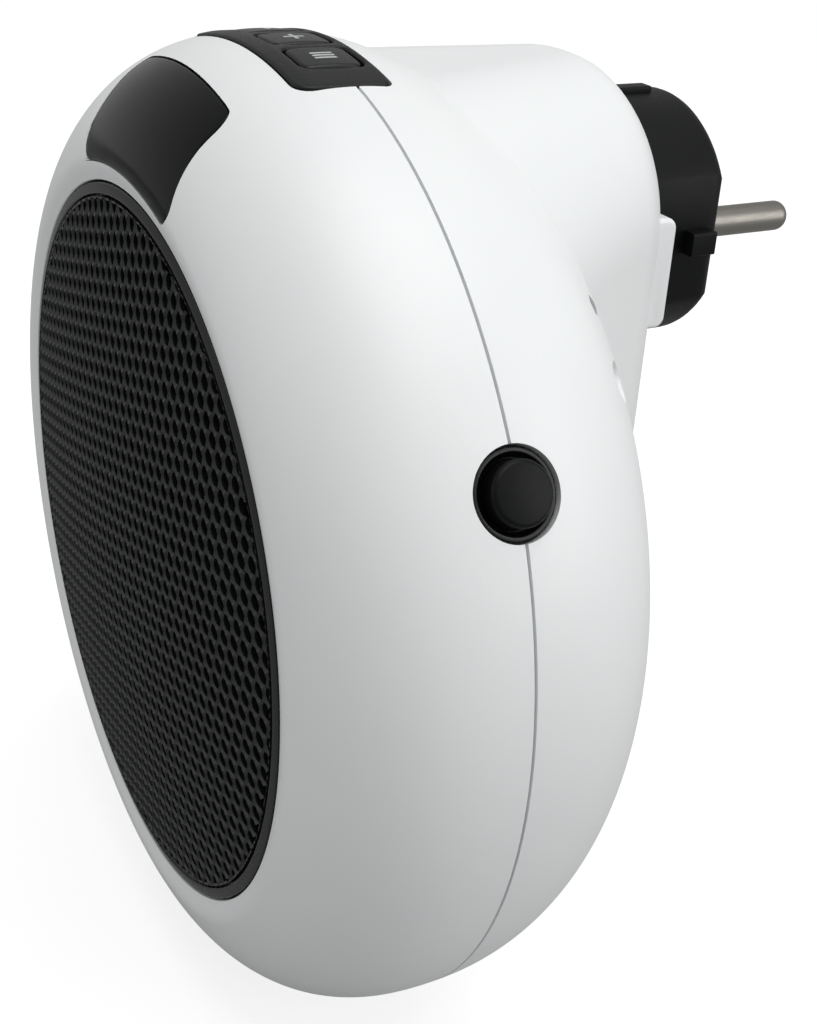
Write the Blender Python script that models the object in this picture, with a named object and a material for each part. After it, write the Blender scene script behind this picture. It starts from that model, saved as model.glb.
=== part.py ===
"""Plug-in fan heater: a white drum on a wall plug, with its fan, heating element and controls inside.

Everything is modelled about the outlet's axis, with depths counted from the outlet ring toward the wall and
heights from the drum's axis. One empty then moves it all, so that the world's origin is the middle of the
plug's contact face, +Y runs into the wall and +Z is up.
"""

import math

import bmesh
import bpy
from mathutils import Matrix, Vector

# Fits that every piece shares
CLEARANCE = 0.0003
RUNNING_CLEARANCE = 0.0001
OVERRUN = 0.002
WALL = 0.002
ROUND_STEPS = 48
SMALL_STEPS = 14
CURVE_STEPS = 7
CORNER_STEPS = 3
SMOOTH_ANGLE = math.radians(35)

# Outlet: a trim ring in the front shell's collar, with a domed honeycomb sheet on the ring's lip
RING_RADIUS = 0.0542
RING_FACE_WIDTH = 0.0017
RING_CREST = 0.0003
RING_SKIRT_DEPTH = 0.009
RING_LIP_WIDTH = 0.002
RING_WALL = 0.0012
COLLAR_WALL = 0.0025
COLLAR_DEPTH = 0.012
GRILLE_EDGE_DEPTH = -0.00025
GRILLE_DOME = 0.00286
GRILLE_THICKNESS = 0.0012
GRILLE_RIM = 0.002
HOLE_PITCH = 0.0113
HOLE_WALL = 0.0020

# Drum: a shape of revolution around the ring, fullest where its two shells part
FRONT_EDGE_MARGIN = 0.0010
FRONT_EDGE_RADIUS = RING_RADIUS + FRONT_EDGE_MARGIN
FRONT_EDGE_DEPTH = -0.0009
SHOULDER_WIDTH = 0.0190
BODY_RADIUS = FRONT_EDGE_RADIUS + SHOULDER_WIDTH
PARTING_DEPTH = 0.0246
REAR_LENGTH = 0.0353
REAR_DEPTH = PARTING_DEPTH + REAR_LENGTH
FRONT_CURVE_ACROSS = 1.6
FRONT_CURVE_ALONG = 2.5
REAR_CURVE_ACROSS = 3.9
REAR_CURVE_ALONG = 2.1
FRONT_LIP_WIDTH = 0.0025
FRONT_LIP_RISE = 0.00062

# Display window and what shows through it
LENS_LOW_MARGIN = 0.0017
LENS_LOW_RADIUS = FRONT_EDGE_RADIUS + LENS_LOW_MARGIN
LENS_HIGH_MARGIN = 0.003
LENS_HIGH_RADIUS = BODY_RADIUS - LENS_HIGH_MARGIN
LENS_SHIFT = -0.0016
LENS_LOW_HALF_WIDTH = 0.0196
LENS_WAIST_HALF_WIDTH = 0.0179
LENS_HIGH_HALF_WIDTH = 0.0186
LENS_CORNER = 0.002
LENS_BACK_MARGIN = 0.0118
LENS_BACK_DEPTH = PARTING_DEPTH - LENS_BACK_MARGIN
LENS_SIDE_SHARES = (1 / 4, 1 / 2, 3 / 4)
DISPLAY_TILT = math.radians(37)
DISPLAY_SIZE = Vector((0.022, 0.0024, 0.008))
DISPLAY_GAP = 0.0014
DISPLAY_RISE = 0.0008
DISPLAY_BOARD_WIDTH = 0.026
DISPLAY_BOARD_LOW = 0.0029
DISPLAY_BOARD_HIGH = 0.009
BOARD_THICKNESS = 0.0016
THIN_BOARD_THICKNESS = 0.001

# Three keys in a panel over the top, across the parting line
KEY_WIDTH = 0.0074
KEY_LENGTH = 0.0088
KEY_GAP = 0.0024
KEY_SPACING = KEY_WIDTH + KEY_GAP
KEY_SHIFT = 0.0004
KEY_CENTRE_DEPTH = PARTING_DEPTH - KEY_SHIFT
KEY_PROUD = 0.0002
KEY_FLANGE_EDGE = 0.0004
KEY_FLANGE_THICKNESS = 0.001
KEY_STEM_RADIUS = 0.0013
KEY_TRAVEL = 0.0006
KEY_BEVEL = 0.0004
PANEL_SIDE_MARGIN = 0.0057
PANEL_HALF_WIDTH = KEY_SPACING + KEY_WIDTH / 2 + PANEL_SIDE_MARGIN
PANEL_FRONT_REACH = 0.0081
PANEL_REAR_REACH = 0.0054
PANEL_START = PARTING_DEPTH - PANEL_FRONT_REACH
PANEL_END = PARTING_DEPTH + PANEL_REAR_REACH
PANEL_CORNER = 0.002
PANEL_LEG_THICKNESS = 0.0016
PANEL_LEG_INSET = 0.0022
PANEL_LEG_MARGIN = 0.0015
SWITCH_SIDE = 0.006
SWITCH_BODY_HEIGHT = 0.0035
SWITCH_PLUNGER_SIDE = 0.003
SWITCH_PLUNGER_HEIGHT = 0.0012
KEY_STACK_HEIGHT = 0.0083
SWITCH_TOP_HEIGHT = BODY_RADIUS - KEY_STACK_HEIGHT
CONTROL_BOARD_MARGIN = 0.0005

# Power button in its cup on the right side, on the parting line
BUTTON_ANGLE = math.radians(61.9)
BUTTON_RADIUS = 0.0041
BUTTON_PROUD = 0.0016
BUTTON_DOME = 0.0006
BUTTON_TRAVEL = 0.0015
BEZEL_WIDTH = 0.0018
BEZEL_RADIUS = BUTTON_RADIUS + BEZEL_WIDTH
BEZEL_SETBACK = 0.0009
BEZEL_LIP = 0.0006
BEZEL_SUNK = 0.0008
BEZEL_LENGTH = 0.0117
POWER_SWITCH_SIZE = Vector((0.010, 0.010, 0.009))

# Heating element in the duct's front half, seated behind the collar's end
DUCT_INSET = 0.0122
DUCT_RADIUS = RING_RADIUS - DUCT_INSET
DUCT_WALL = 0.0018
DUCT_FLANGE = 0.0018
HEATER_SEAT = 0.0026
HEATER_START = COLLAR_DEPTH + HEATER_SEAT
HEATER_DEPTH = 0.0100
HEATER_WIDTH_SHARE = 5 / 7
HEATER_HEIGHT_SHARE = 17 / 28
HEATER_HALF_WIDTH = DUCT_RADIUS * HEATER_WIDTH_SHARE
HEATER_HALF_HEIGHT = DUCT_RADIUS * HEATER_HEIGHT_SHARE
BAR_HEIGHT = 0.0024
BAR_OFFSET = HEATER_HALF_HEIGHT / 3
FIN_THICKNESS = 0.0006
FIN_FOLDS = 14
TERMINAL_SIZE = Vector((0.006, 0.0055, 0.0008))
CUTOUT_RADIUS = 0.005
CUTOUT_LENGTH = 0.004
CUTOUT_RISE = 0.008
CUTOUT_HEIGHT = HEATER_HALF_HEIGHT + CUTOUT_RISE
LEAD_RADIUS = 0.0011
LEAD_SLOT_HALF_WIDTH = 0.0115
LEAD_ACROSS_SHARES = (0.12, 0.8)
LEAD_HEIGHT_SHARES = (0.8, 0.5)

# Fan behind the element: its motor in the duct's hub, then the impeller
MOTOR_RADIUS = 0.012
MOTOR_GAP = 0.0029
MOTOR_LENGTH = 0.013
MOTOR_START = HEATER_START + HEATER_DEPTH + MOTOR_GAP
MOTOR_END = MOTOR_START + MOTOR_LENGTH
HUB_WALL = 0.0018
HUB_FRONT_SETBACK = 0.004
HUB_REAR_SETBACK = 0.003
HUB_START = MOTOR_START + HUB_FRONT_SETBACK
HUB_END = MOTOR_END - HUB_REAR_SETBACK
SPOKE_WIDTH = 0.003
SPOKE_COUNT = 4
IMPELLER_TIP_GAP = 0.0025
IMPELLER_RADIUS = DUCT_RADIUS - IMPELLER_TIP_GAP
IMPELLER_HUB_RADIUS = 0.013
IMPELLER_GAP = 0.001
IMPELLER_START = MOTOR_END + IMPELLER_GAP
IMPELLER_LENGTH = 0.0100
BLADE_COUNT = 7
BLADE_THICKNESS = 0.0012
BLADE_ROOT_PITCH = math.radians(38)
BLADE_TIP_PITCH = math.radians(66)
BLADE_STEPS = 3
BLADE_MARGIN = 0.0006
SHAFT_RADIUS = 0.0015
SHAFT_SETBACK = 0.0045
SHAFT_START = MOTOR_START + SHAFT_SETBACK
SHAFT_END = IMPELLER_START + IMPELLER_LENGTH
DUCT_OVERLAP = 0.0035
DUCT_END = IMPELLER_START + DUCT_OVERLAP

# Mains board over the duct, under the neck's roof, with the places counted from its front edge
BOARD_STANDOFF = 0.0048
MAINS_BOARD_HEIGHT = DUCT_RADIUS + DUCT_WALL + BOARD_STANDOFF
MAINS_BOARD_HALF_WIDTH = 0.020
MAINS_BOARD_LENGTH = 0.0265
MAINS_BOARD_END = REAR_DEPTH
MAINS_BOARD_START = MAINS_BOARD_END - MAINS_BOARD_LENGTH
BOARD_POST_SIDE = 0.004
BOARD_POST_OFFSET = 0.014
BOARD_POST_SETBACK = 0.0055
RELAY_SIZE = Vector((0.019, 0.0155, 0.0140))
RELAY_PLACE = Vector((-0.0085, 0.0120, 0))
CAPACITOR_SIZE = Vector((0.008, 0.0175, 0.0110))
CAPACITOR_PLACE = Vector((0.0125, 0.0128, 0))

# Neck behind the drum, around the plug's axis
PLUG_DROP = 0.0292
PLUG_HEIGHT = BODY_RADIUS - PLUG_DROP
PLUG_RADIUS = 0.0194
NECK_ROOT_SETBACK = 0.0114
NECK_ROOT_DEPTH = PARTING_DEPTH + NECK_ROOT_SETBACK
NECK_REACH = 0.0156
NECK_END_DEPTH = REAR_DEPTH + NECK_REACH
NECK_ROOT_HALF_WIDTH = 0.0404
NECK_END_MARGIN = 0.0033
NECK_END_HALF_WIDTH = PLUG_RADIUS + NECK_END_MARGIN
NECK_ROOT_RISE = 0.0250
NECK_ROOT_TOP = PLUG_HEIGHT + NECK_ROOT_RISE
NECK_END_RISE = 0.0265
NECK_END_TOP = PLUG_HEIGHT + NECK_END_RISE
NECK_ROOT_FALL = 0.075
NECK_ROOT_BOTTOM = PLUG_HEIGHT - NECK_ROOT_FALL
NECK_END_FALL = 0.037
NECK_END_BOTTOM = PLUG_HEIGHT - NECK_END_FALL
NECK_ROOT_FLAT = 0.010
NECK_LOW_CORNER = 0.008
NECK_SIDE_ROLL = 0.0024
NECK_SIDE_ROLL_LENGTH = 0.006
NECK_TOP_ROLL = 0.0040
NECK_TOP_ROLL_LENGTH = 0.009
NECK_STATION_SHARES = (0, 0.35, 0.62, 0.72, 0.8, 0.87, 0.92, 0.96, 0.985, 1)
NECK_ARCH_STEPS = 6
NECK_END_WALL = 0.0041
NECK_INNER_END = NECK_END_DEPTH - NECK_END_WALL

# Plug insert, its clamp and its pins
PLUG_REACH = 0.0139
PLUG_FACE_DEPTH = NECK_END_DEPTH + PLUG_REACH
PLUG_FLAT_CUT = 0.0024
PLUG_FLAT = PLUG_RADIUS - PLUG_FLAT_CUT
PLUG_BEVEL = 0.0023
PLUG_BEVEL_INSET = 0.0016
CHEEK_THICKNESS = 0.0033
CHEEK_OUTER = PLUG_FLAT + CHEEK_THICKNESS
CHEEK_REACH = 0.0031
CHEEK_END = NECK_END_DEPTH + CHEEK_REACH
CHEEK_LOW = -0.0123
CHEEK_HIGH = 0.0050
PLUG_RIB_HALF_HEIGHT = 0.0018
PLUG_RIB_GAP = 0.0041
PLUG_RIB_START = CHEEK_END + PLUG_RIB_GAP
PLUG_TAB_HALF_WIDTH = 0.0015
PLUG_TAB_RISE = 0.0008
PLUG_TAB_HEIGHT = PLUG_RADIUS + PLUG_TAB_RISE
PLUG_TAB_REACH = 0.0092
PLUG_TAB_END = NECK_END_DEPTH + PLUG_TAB_REACH
PLUG_FLANGE_WIDTH = 0.0018
PLUG_FLANGE_THICKNESS = 0.003
PIN_RADIUS = 0.0024
PIN_LENGTH = 0.019
PIN_OFFSET = 0.0095
PIN_TIP = 0.0016
PIN_TAIL = 0.0009
CLAMP_THICKNESS = 0.002
CLAMP_MARGIN = 0.0011
CLAMP_HALF_WIDTH = PLUG_RADIUS + CLAMP_MARGIN
CLAMP_WINDOW_MARGIN = 0.0031
CLAMP_WINDOW_RADIUS = PIN_OFFSET + PIN_RADIUS + CLAMP_WINDOW_MARGIN
CLAMP_BOSS_RADIUS = 0.003
CLAMP_BOSS_INSET = 0.007
CLAMP_BOSS_OFFSET = CLAMP_HALF_WIDTH - CLAMP_BOSS_INSET
CLAMP_BOSS_GAP = 0.0053
CLAMP_BOSS_HEIGHT = -(PLUG_RADIUS + PLUG_FLANGE_WIDTH + CLAMP_BOSS_GAP)
CLAMP_LIP = 0.004
CLAMP_LOW = CLAMP_BOSS_HEIGHT - CLAMP_LIP

# Screws and their posts
POST_RADIUS = 0.0042
POST_INSET = 0.0112
POST_CIRCLE = BODY_RADIUS - POST_INSET
SCREW_RADIUS = 0.0012
SCREW_HEAD_RADIUS = 0.0026
SCREW_HEAD_HEIGHT = 0.002
CASE_SCREW_SUNK = 0.0079
CASE_SCREW_HEAD_DEPTH = PARTING_DEPTH + CASE_SCREW_SUNK
CASE_SCREW_LENGTH = 0.017
CLAMP_SCREW_LENGTH = 0.0045

# Air inlet: slots in the rear shell, spread evenly between the two beside the neck
SLOT_FIRST_ANGLE = math.radians(42.5)
SLOT_COUNT = 31
SLOT_WIDTH = 0.0029
SLOT_DUCT_MARGIN = 0.0002
SLOT_INNER_RADIUS = DUCT_RADIUS + DUCT_WALL + SLOT_DUCT_MARGIN
SLOT_NECK_MARGIN = 0.0116
SLOT_BESIDE_NECK_RADIUS = NECK_ROOT_HALF_WIDTH + SLOT_NECK_MARGIN
SLOT_RIM_MARGIN = 0.0131
SLOT_OUTER_RADIUS = BODY_RADIUS - SLOT_RIM_MARGIN
SLOT_NECK_RIM_MARGIN = 0.0084
SLOT_NECK_OUTER_RADIUS = BODY_RADIUS - SLOT_NECK_RIM_MARGIN
POST_SLOTS = (1, 9, 21, 29)
POST_NAMES = ("right", "lower_right", "lower_left", "left")

# Pieces with so many cuts that the exact solver leaves edges open on them
MANY_CUTS = ("front_shell", "rear_shell", "front_cavity", "rear_cavity", "plug_insert")

# Finishes: colour, roughness, metallic
FINISHES = {
    "white_shell": ((0.86, 0.87, 0.87), 0.42, 0.0),
    "black_trim": ((0.012, 0.012, 0.013), 0.35, 0.0),
    "black_mesh": ((0.015, 0.015, 0.016), 0.5, 0.0),
    "smoked_window": ((0.02, 0.022, 0.024), 0.12, 0.0),
    "black_panel": ((0.018, 0.018, 0.02), 0.4, 0.0),
    "black_key": ((0.015, 0.015, 0.016), 0.45, 0.0),
    "plug_black": ((0.014, 0.014, 0.015), 0.55, 0.0),
    "nickel": ((0.62, 0.6, 0.57), 0.25, 1.0),
    "steel": ((0.55, 0.55, 0.56), 0.3, 1.0),
    "aluminium_fin": ((0.7, 0.71, 0.72), 0.35, 1.0),
    "ceramic": ((0.3, 0.28, 0.26), 0.7, 0.0),
    "brown_frame": ((0.12, 0.07, 0.045), 0.6, 0.0),
    "grey_duct": ((0.09, 0.09, 0.095), 0.55, 0.0),
    "green_board": ((0.02, 0.13, 0.05), 0.5, 0.0),
    "display_face": ((0.05, 0.05, 0.055), 0.3, 0.0),
    "relay_blue": ((0.03, 0.1, 0.35), 0.4, 0.0),
    "capacitor_yellow": ((0.65, 0.45, 0.05), 0.45, 0.0),
    "lead_red": ((0.5, 0.03, 0.02), 0.5, 0.0),
    "lead_blue": ((0.03, 0.08, 0.4), 0.5, 0.0),
    "brass": ((0.75, 0.55, 0.25), 0.3, 1.0),
}


def finish(name):
    """The Principled material of this name, made at its first use."""
    found = bpy.data.materials.get(name)
    if found:
        return found
    colour, roughness, metallic = FINISHES[name]
    made = bpy.data.materials.new(name)
    made.use_nodes = True
    shader = made.node_tree.nodes["Principled BSDF"]
    shader.inputs["Base Color"].default_value = (*colour, 1)
    shader.inputs["Roughness"].default_value = roughness
    shader.inputs["Metallic"].default_value = metallic
    made.diffuse_color = (*colour, 1)
    return made


def start_scene():
    """Empties the scene and adds the empty that carries every piece."""
    for item in list(bpy.data.objects):
        bpy.data.objects.remove(item, do_unlink=True)
    frame = bpy.data.objects.new("body_frame", None)
    frame.location = (0, -PLUG_FACE_DEPTH, -PLUG_HEIGHT)
    bpy.context.scene.collection.objects.link(frame)


def add(name, shape, finish_name, place=(0, 0, 0), turn=0.0, tilt=0.0):
    """Makes an object of this bmesh, turned about the depth axis from up toward +X, then tilted back about X."""
    mesh = bpy.data.meshes.new(name)
    shape.to_mesh(mesh)
    shape.free()
    piece = bpy.data.objects.new(name, mesh)
    piece.parent = bpy.data.objects["body_frame"]
    piece.location = place
    piece.rotation_euler = (tilt, turn, 0)
    if finish_name:
        mesh.materials.append(finish(finish_name))
        mesh.shade_smooth()
        mesh.set_sharp_from_angle(angle=SMOOTH_ANGLE)
    bpy.context.scene.collection.objects.link(piece)
    return piece


def helper(name, shape, place=(0, 0, 0), turn=0.0, tilt=0.0):
    """A cutter or a join that isn't a piece of its own."""
    made = add(name, shape, None, place, turn, tilt)
    made.hide_render = True
    made.display_type = "WIRE"
    return made


def combine(target, other, operation):
    """Adds a Boolean step to the target."""
    step = target.modifiers.new(other.name, "BOOLEAN")
    step.operation = operation
    step.object = other
    step.solver = "MANIFOLD" if target.name in MANY_CUTS else "EXACT"


def outward(shape):
    """Turns a closed bmesh's faces to point out."""
    bmesh.ops.recalc_face_normals(shape, faces=shape.faces[:])
    if shape.calc_volume(signed=True) < 0:
        bmesh.ops.reverse_faces(shape, faces=shape.faces[:])
    return shape


def cut(target, *cutters):
    for cutter in cutters:
        combine(target, cutter, "DIFFERENCE")


def join(target, *others):
    for other in others:
        combine(target, other, "UNION")


def turned(profile, steps=ROUND_STEPS):
    """A closed profile of (radius, depth) points turned about the depth axis."""
    shape = bmesh.new()
    angles = [2 * math.pi * step / steps for step in range(steps)]
    rings = []
    for radius, depth in profile:
        if radius == 0:
            rings.append([shape.verts.new((0, depth, 0))] * steps)
        else:
            rings.append([shape.verts.new((radius * math.sin(a), depth, radius * math.cos(a))) for a in angles])
    for first, second in zip(rings, rings[1:] + rings[:1]):
        for step in range(steps):
            after = (step + 1) % steps
            corners = list(dict.fromkeys((first[step], first[after], second[after], second[step])))
            if len(corners) > 2:
                shape.faces.new(corners)
    return outward(shape)


def rod(radius, start, end, steps=SMALL_STEPS):
    return turned([(0, start), (radius, start), (radius, end), (0, end)], steps)


def tube(outer, inner, start, end, steps=ROUND_STEPS):
    return turned([(outer, start), (outer, end), (inner, end), (inner, start)], steps)


def prism(outline, start, end):
    """An outline of (x, height) points run along the depth axis."""
    shape = bmesh.new()
    near = [shape.verts.new((x, start, z)) for x, z in outline]
    far = [shape.verts.new((x, end, z)) for x, z in outline]
    shape.faces.new(near)
    shape.faces.new(far)
    for index in range(len(outline)):
        after = (index + 1) % len(outline)
        shape.faces.new((near[index], near[after], far[after], far[index]))
    return outward(shape)


def loft(sections):
    """Joins rings of points that correspond one to one, and closes both ends."""
    shape = bmesh.new()
    rings = [[shape.verts.new(point) for point in section] for section in sections]
    shape.faces.new(rings[0])
    shape.faces.new(rings[-1])
    for first, second in zip(rings, rings[1:]):
        for index in range(len(first)):
            after = (index + 1) % len(first)
            shape.faces.new((first[index], first[after], second[after], second[index]))
    return outward(shape)


def block(low, high):
    """A box between two opposite corners."""
    low, high = Vector(low), Vector(high)
    shape = bmesh.new()
    bmesh.ops.create_cube(shape, size=1)
    size = Matrix.Diagonal(high - low).to_4x4()
    bmesh.ops.transform(shape, matrix=Matrix.Translation((low + high) / 2) @ size, verts=shape.verts)
    return shape


def centred(size):
    return block(-size / 2, size / 2)


def shifted(shape, offset, turn=0.0):
    """Moves a bmesh, after turning it about the depth axis."""
    matrix = Matrix.Rotation(turn, 4, "Y") @ Matrix.Translation(offset)
    bmesh.ops.transform(shape, matrix=matrix, verts=shape.verts)
    return shape


def gathered(shapes):
    """Several bmeshes as one, which stay separate bodies. For cutters."""
    whole = bmesh.new()
    for shape in shapes:
        mesh = bpy.data.meshes.new("gathered")
        shape.to_mesh(mesh)
        shape.free()
        whole.from_mesh(mesh)
        bpy.data.meshes.remove(mesh)
    return whole


def rounded(corners, radius, sharp=None):
    """The outline through these points, with the sharp ones rounded: all of them, unless some are given."""
    outline = []
    for index, point in enumerate(corners):
        if sharp and point not in sharp:
            outline.append(point)
            continue
        corner = Vector(point)
        before = (Vector(corners[index - 1]) - corner).normalized()
        after = (Vector(corners[(index + 1) % len(corners)]) - corner).normalized()
        half = before.angle(after) / 2
        reach = radius / math.tan(half)
        centre = corner + (before + after).normalized() * radius / math.sin(half)
        start = corner + before * reach - centre
        end = corner + after * reach - centre
        first = math.atan2(start.y, start.x)
        sweep = (math.atan2(end.y, end.x) - first + math.pi) % (2 * math.pi) - math.pi
        for step in range(CORNER_STEPS + 1):
            angle = first + sweep * step / CORNER_STEPS
            outline.append((centre.x + radius * math.cos(angle), centre.y + radius * math.sin(angle)))
    return outline


def arc(radius, start, end, steps, centre=(0, 0)):
    """Points on a circle, with angles counted from up toward +X."""
    points = []
    for step in range(steps + 1):
        angle = start + (end - start) * step / steps
        points.append((centre[0] + radius * math.sin(angle), centre[1] + radius * math.cos(angle)))
    return points


def eased(share, power):
    return max(share, 0) ** (2 / power)


def front_curve(inset):
    """The front shell's skin from the parting line to the outlet, drawn in by inset."""
    across = BODY_RADIUS - inset - FRONT_EDGE_RADIUS
    along = PARTING_DEPTH - FRONT_EDGE_DEPTH - inset
    points = []
    for step in range(CURVE_STEPS + 1):
        angle = math.pi / 2 * step / CURVE_STEPS
        radius = FRONT_EDGE_RADIUS + across * eased(math.cos(angle), FRONT_CURVE_ACROSS)
        points.append((radius, PARTING_DEPTH - along * eased(math.sin(angle), FRONT_CURVE_ALONG)))
    return points


def rear_curve(inset):
    """The rear shell's skin from the parting line to its middle, drawn in by inset."""
    across = BODY_RADIUS - inset
    along = REAR_DEPTH - PARTING_DEPTH - inset
    points = []
    for step in range(CURVE_STEPS + 1):
        angle = math.pi / 2 * step / CURVE_STEPS
        radius = across * eased(math.cos(angle), REAR_CURVE_ACROSS) if step < CURVE_STEPS else 0
        points.append((radius, PARTING_DEPTH + along * eased(math.sin(angle), REAR_CURVE_ALONG)))
    return points


def slot_angle(index):
    return SLOT_FIRST_ANGLE + (2 * math.pi - 2 * SLOT_FIRST_ANGLE) * index / (SLOT_COUNT - 1)


def posts(name, radius, start, end):
    """Round posts at the four case screws, as one helper."""
    shapes = []
    for index in POST_SLOTS:
        shapes.append(shifted(rod(radius, start, end), (0, 0, POST_CIRCLE), slot_angle(index)))
    return helper(name, gathered(shapes))


def lens_outline(grow):
    """The window's outline: two arcs and two sides that draw in at the waist, set a little off the middle."""
    low, high = LENS_LOW_RADIUS - grow, LENS_HIGH_RADIUS + grow
    low_x, waist_x, high_x = (
        width + grow for width in (LENS_LOW_HALF_WIDTH, LENS_WAIST_HALF_WIDTH, LENS_HIGH_HALF_WIDTH)
    )
    bottom = arc(low, 0, math.asin(low_x / low), CORNER_STEPS)
    top = arc(high, math.asin(high_x / high), 0, CORNER_STEPS)
    dip = between(low_x, high_x, 1 / 2) - waist_x
    side = []
    for share in LENS_SIDE_SHARES:
        x = between(low_x, high_x, share) - 4 * dip * share * (1 - share)
        side.append((x, between(bottom[-1][1], top[0][1], share)))
    half = bottom + side + top
    mirrored = [(-x, z) for x, z in reversed(half[1:-1])]
    sharp = [bottom[-1], top[0]]
    sharp += [(-x, z) for x, z in sharp]
    outline = rounded(half + mirrored, LENS_CORNER, sharp)
    return [(x + LENS_SHIFT, z) for x, z in outline]


def panel_outline(grow):
    half = PANEL_HALF_WIDTH + grow
    start, end = PANEL_START - grow, PANEL_END + grow
    return rounded([(-half, start), (half, start), (half, end), (-half, end)], PANEL_CORNER)


def upright(outline, low, high):
    """An outline of (x, depth) points run upward."""
    shape = bmesh.new()
    lower = [shape.verts.new((x, depth, low)) for x, depth in outline]
    upper = [shape.verts.new((x, depth, high)) for x, depth in outline]
    shape.faces.new(lower)
    shape.faces.new(upper)
    for index in range(len(outline)):
        after = (index + 1) % len(outline)
        shape.faces.new((lower[index], lower[after], upper[after], upper[index]))
    return outward(shape)


def panel_block(name, grow):
    low = math.sqrt(BODY_RADIUS**2 - PANEL_HALF_WIDTH**2) - 2 * WALL - OVERRUN
    return helper(name, upright(panel_outline(grow), low, BODY_RADIUS + OVERRUN))


def key_angle(index):
    return math.asin(KEY_SPACING * index / BODY_RADIUS)


def on_rim(angle, depth, radius=BODY_RADIUS):
    """A point at this angle from up toward +X, at this radius and depth."""
    return Vector((radius * math.sin(angle), depth, radius * math.cos(angle)))


def front_shell():
    half_gap = CLEARANCE / 2
    bore_radius = RING_RADIUS + CLEARANCE
    skin = front_curve(0)[1:-1]
    lip = [(bore_radius + FRONT_LIP_WIDTH, -FRONT_LIP_RISE), (bore_radius, 0), (0, 0)]
    shell = add(
        "front_shell",
        turned([(0, PARTING_DEPTH - half_gap), (BODY_RADIUS, PARTING_DEPTH - half_gap), *skin, *lip]),
        "white_shell",
    )
    collar_outer = bore_radius + COLLAR_WALL
    inner = [point for point in front_curve(WALL) if point[0] > collar_outer]
    inner_end = (collar_outer, inner[-1][1])
    cavity = helper(
        "front_cavity",
        turned(
            [
                (0, PARTING_DEPTH + OVERRUN),
                (BODY_RADIUS - WALL, PARTING_DEPTH + OVERRUN),
                *inner,
                inner_end,
                (collar_outer, COLLAR_DEPTH),
                (0, COLLAR_DEPTH),
            ]
        ),
    )
    cut(cavity, posts("front_posts", POST_RADIUS, FRONT_EDGE_DEPTH, PARTING_DEPTH - half_gap))
    bore = helper(
        "outlet_bore",
        rod(bore_radius, FRONT_EDGE_DEPTH - OVERRUN, COLLAR_DEPTH + OVERRUN, ROUND_STEPS),
    )
    window = helper(
        "window_cut",
        prism(lens_outline(CLEARANCE), FRONT_EDGE_DEPTH - OVERRUN, LENS_BACK_DEPTH + CLEARANCE),
    )
    pilot_start = CASE_SCREW_HEAD_DEPTH - CASE_SCREW_LENGTH - CLEARANCE
    pilots = posts("front_pilots", SCREW_RADIUS + CLEARANCE, pilot_start, PARTING_DEPTH + OVERRUN)
    cut(shell, cavity, bore, window, pilots)
    return shell


def rolled(depth, amount, length):
    """How far the neck's skin has rolled in toward its end at this depth."""
    return amount * max(0, 1 - (NECK_END_DEPTH - depth) / length) ** 2


def between(start, end, share):
    return start + (end - start) * share


def neck_section(share, inset):
    """The neck's outline at a share of its length: an arch over straight sides, with a small lower corner."""
    depth = between(NECK_ROOT_DEPTH, NECK_END_DEPTH, share)
    side = between(NECK_ROOT_HALF_WIDTH, NECK_END_HALF_WIDTH, share)
    side -= rolled(depth, NECK_SIDE_ROLL, NECK_SIDE_ROLL_LENGTH) + inset
    top = between(NECK_ROOT_TOP, NECK_END_TOP, share)
    top -= rolled(depth, NECK_TOP_ROLL, NECK_TOP_ROLL_LENGTH) + inset
    bottom = between(NECK_ROOT_BOTTOM, NECK_END_BOTTOM, share)
    bottom += rolled(depth, NECK_SIDE_ROLL, NECK_SIDE_ROLL_LENGTH) + inset
    flat = between(NECK_ROOT_FLAT, 0, share)
    arch = side - flat
    corner = NECK_LOW_CORNER - inset
    quarter = math.pi / 2
    outline = arc(arch, 0, quarter, NECK_ARCH_STEPS, (flat, top - arch))
    outline += arc(corner, quarter, 2 * quarter, CORNER_STEPS, (side - corner, bottom + corner))
    outline += [(-x, z) for x, z in reversed(outline)]
    if not flat:
        outline.pop()
        outline.insert(0, outline[-1])
    return [(x, depth, z) for x, z in outline]


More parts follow.
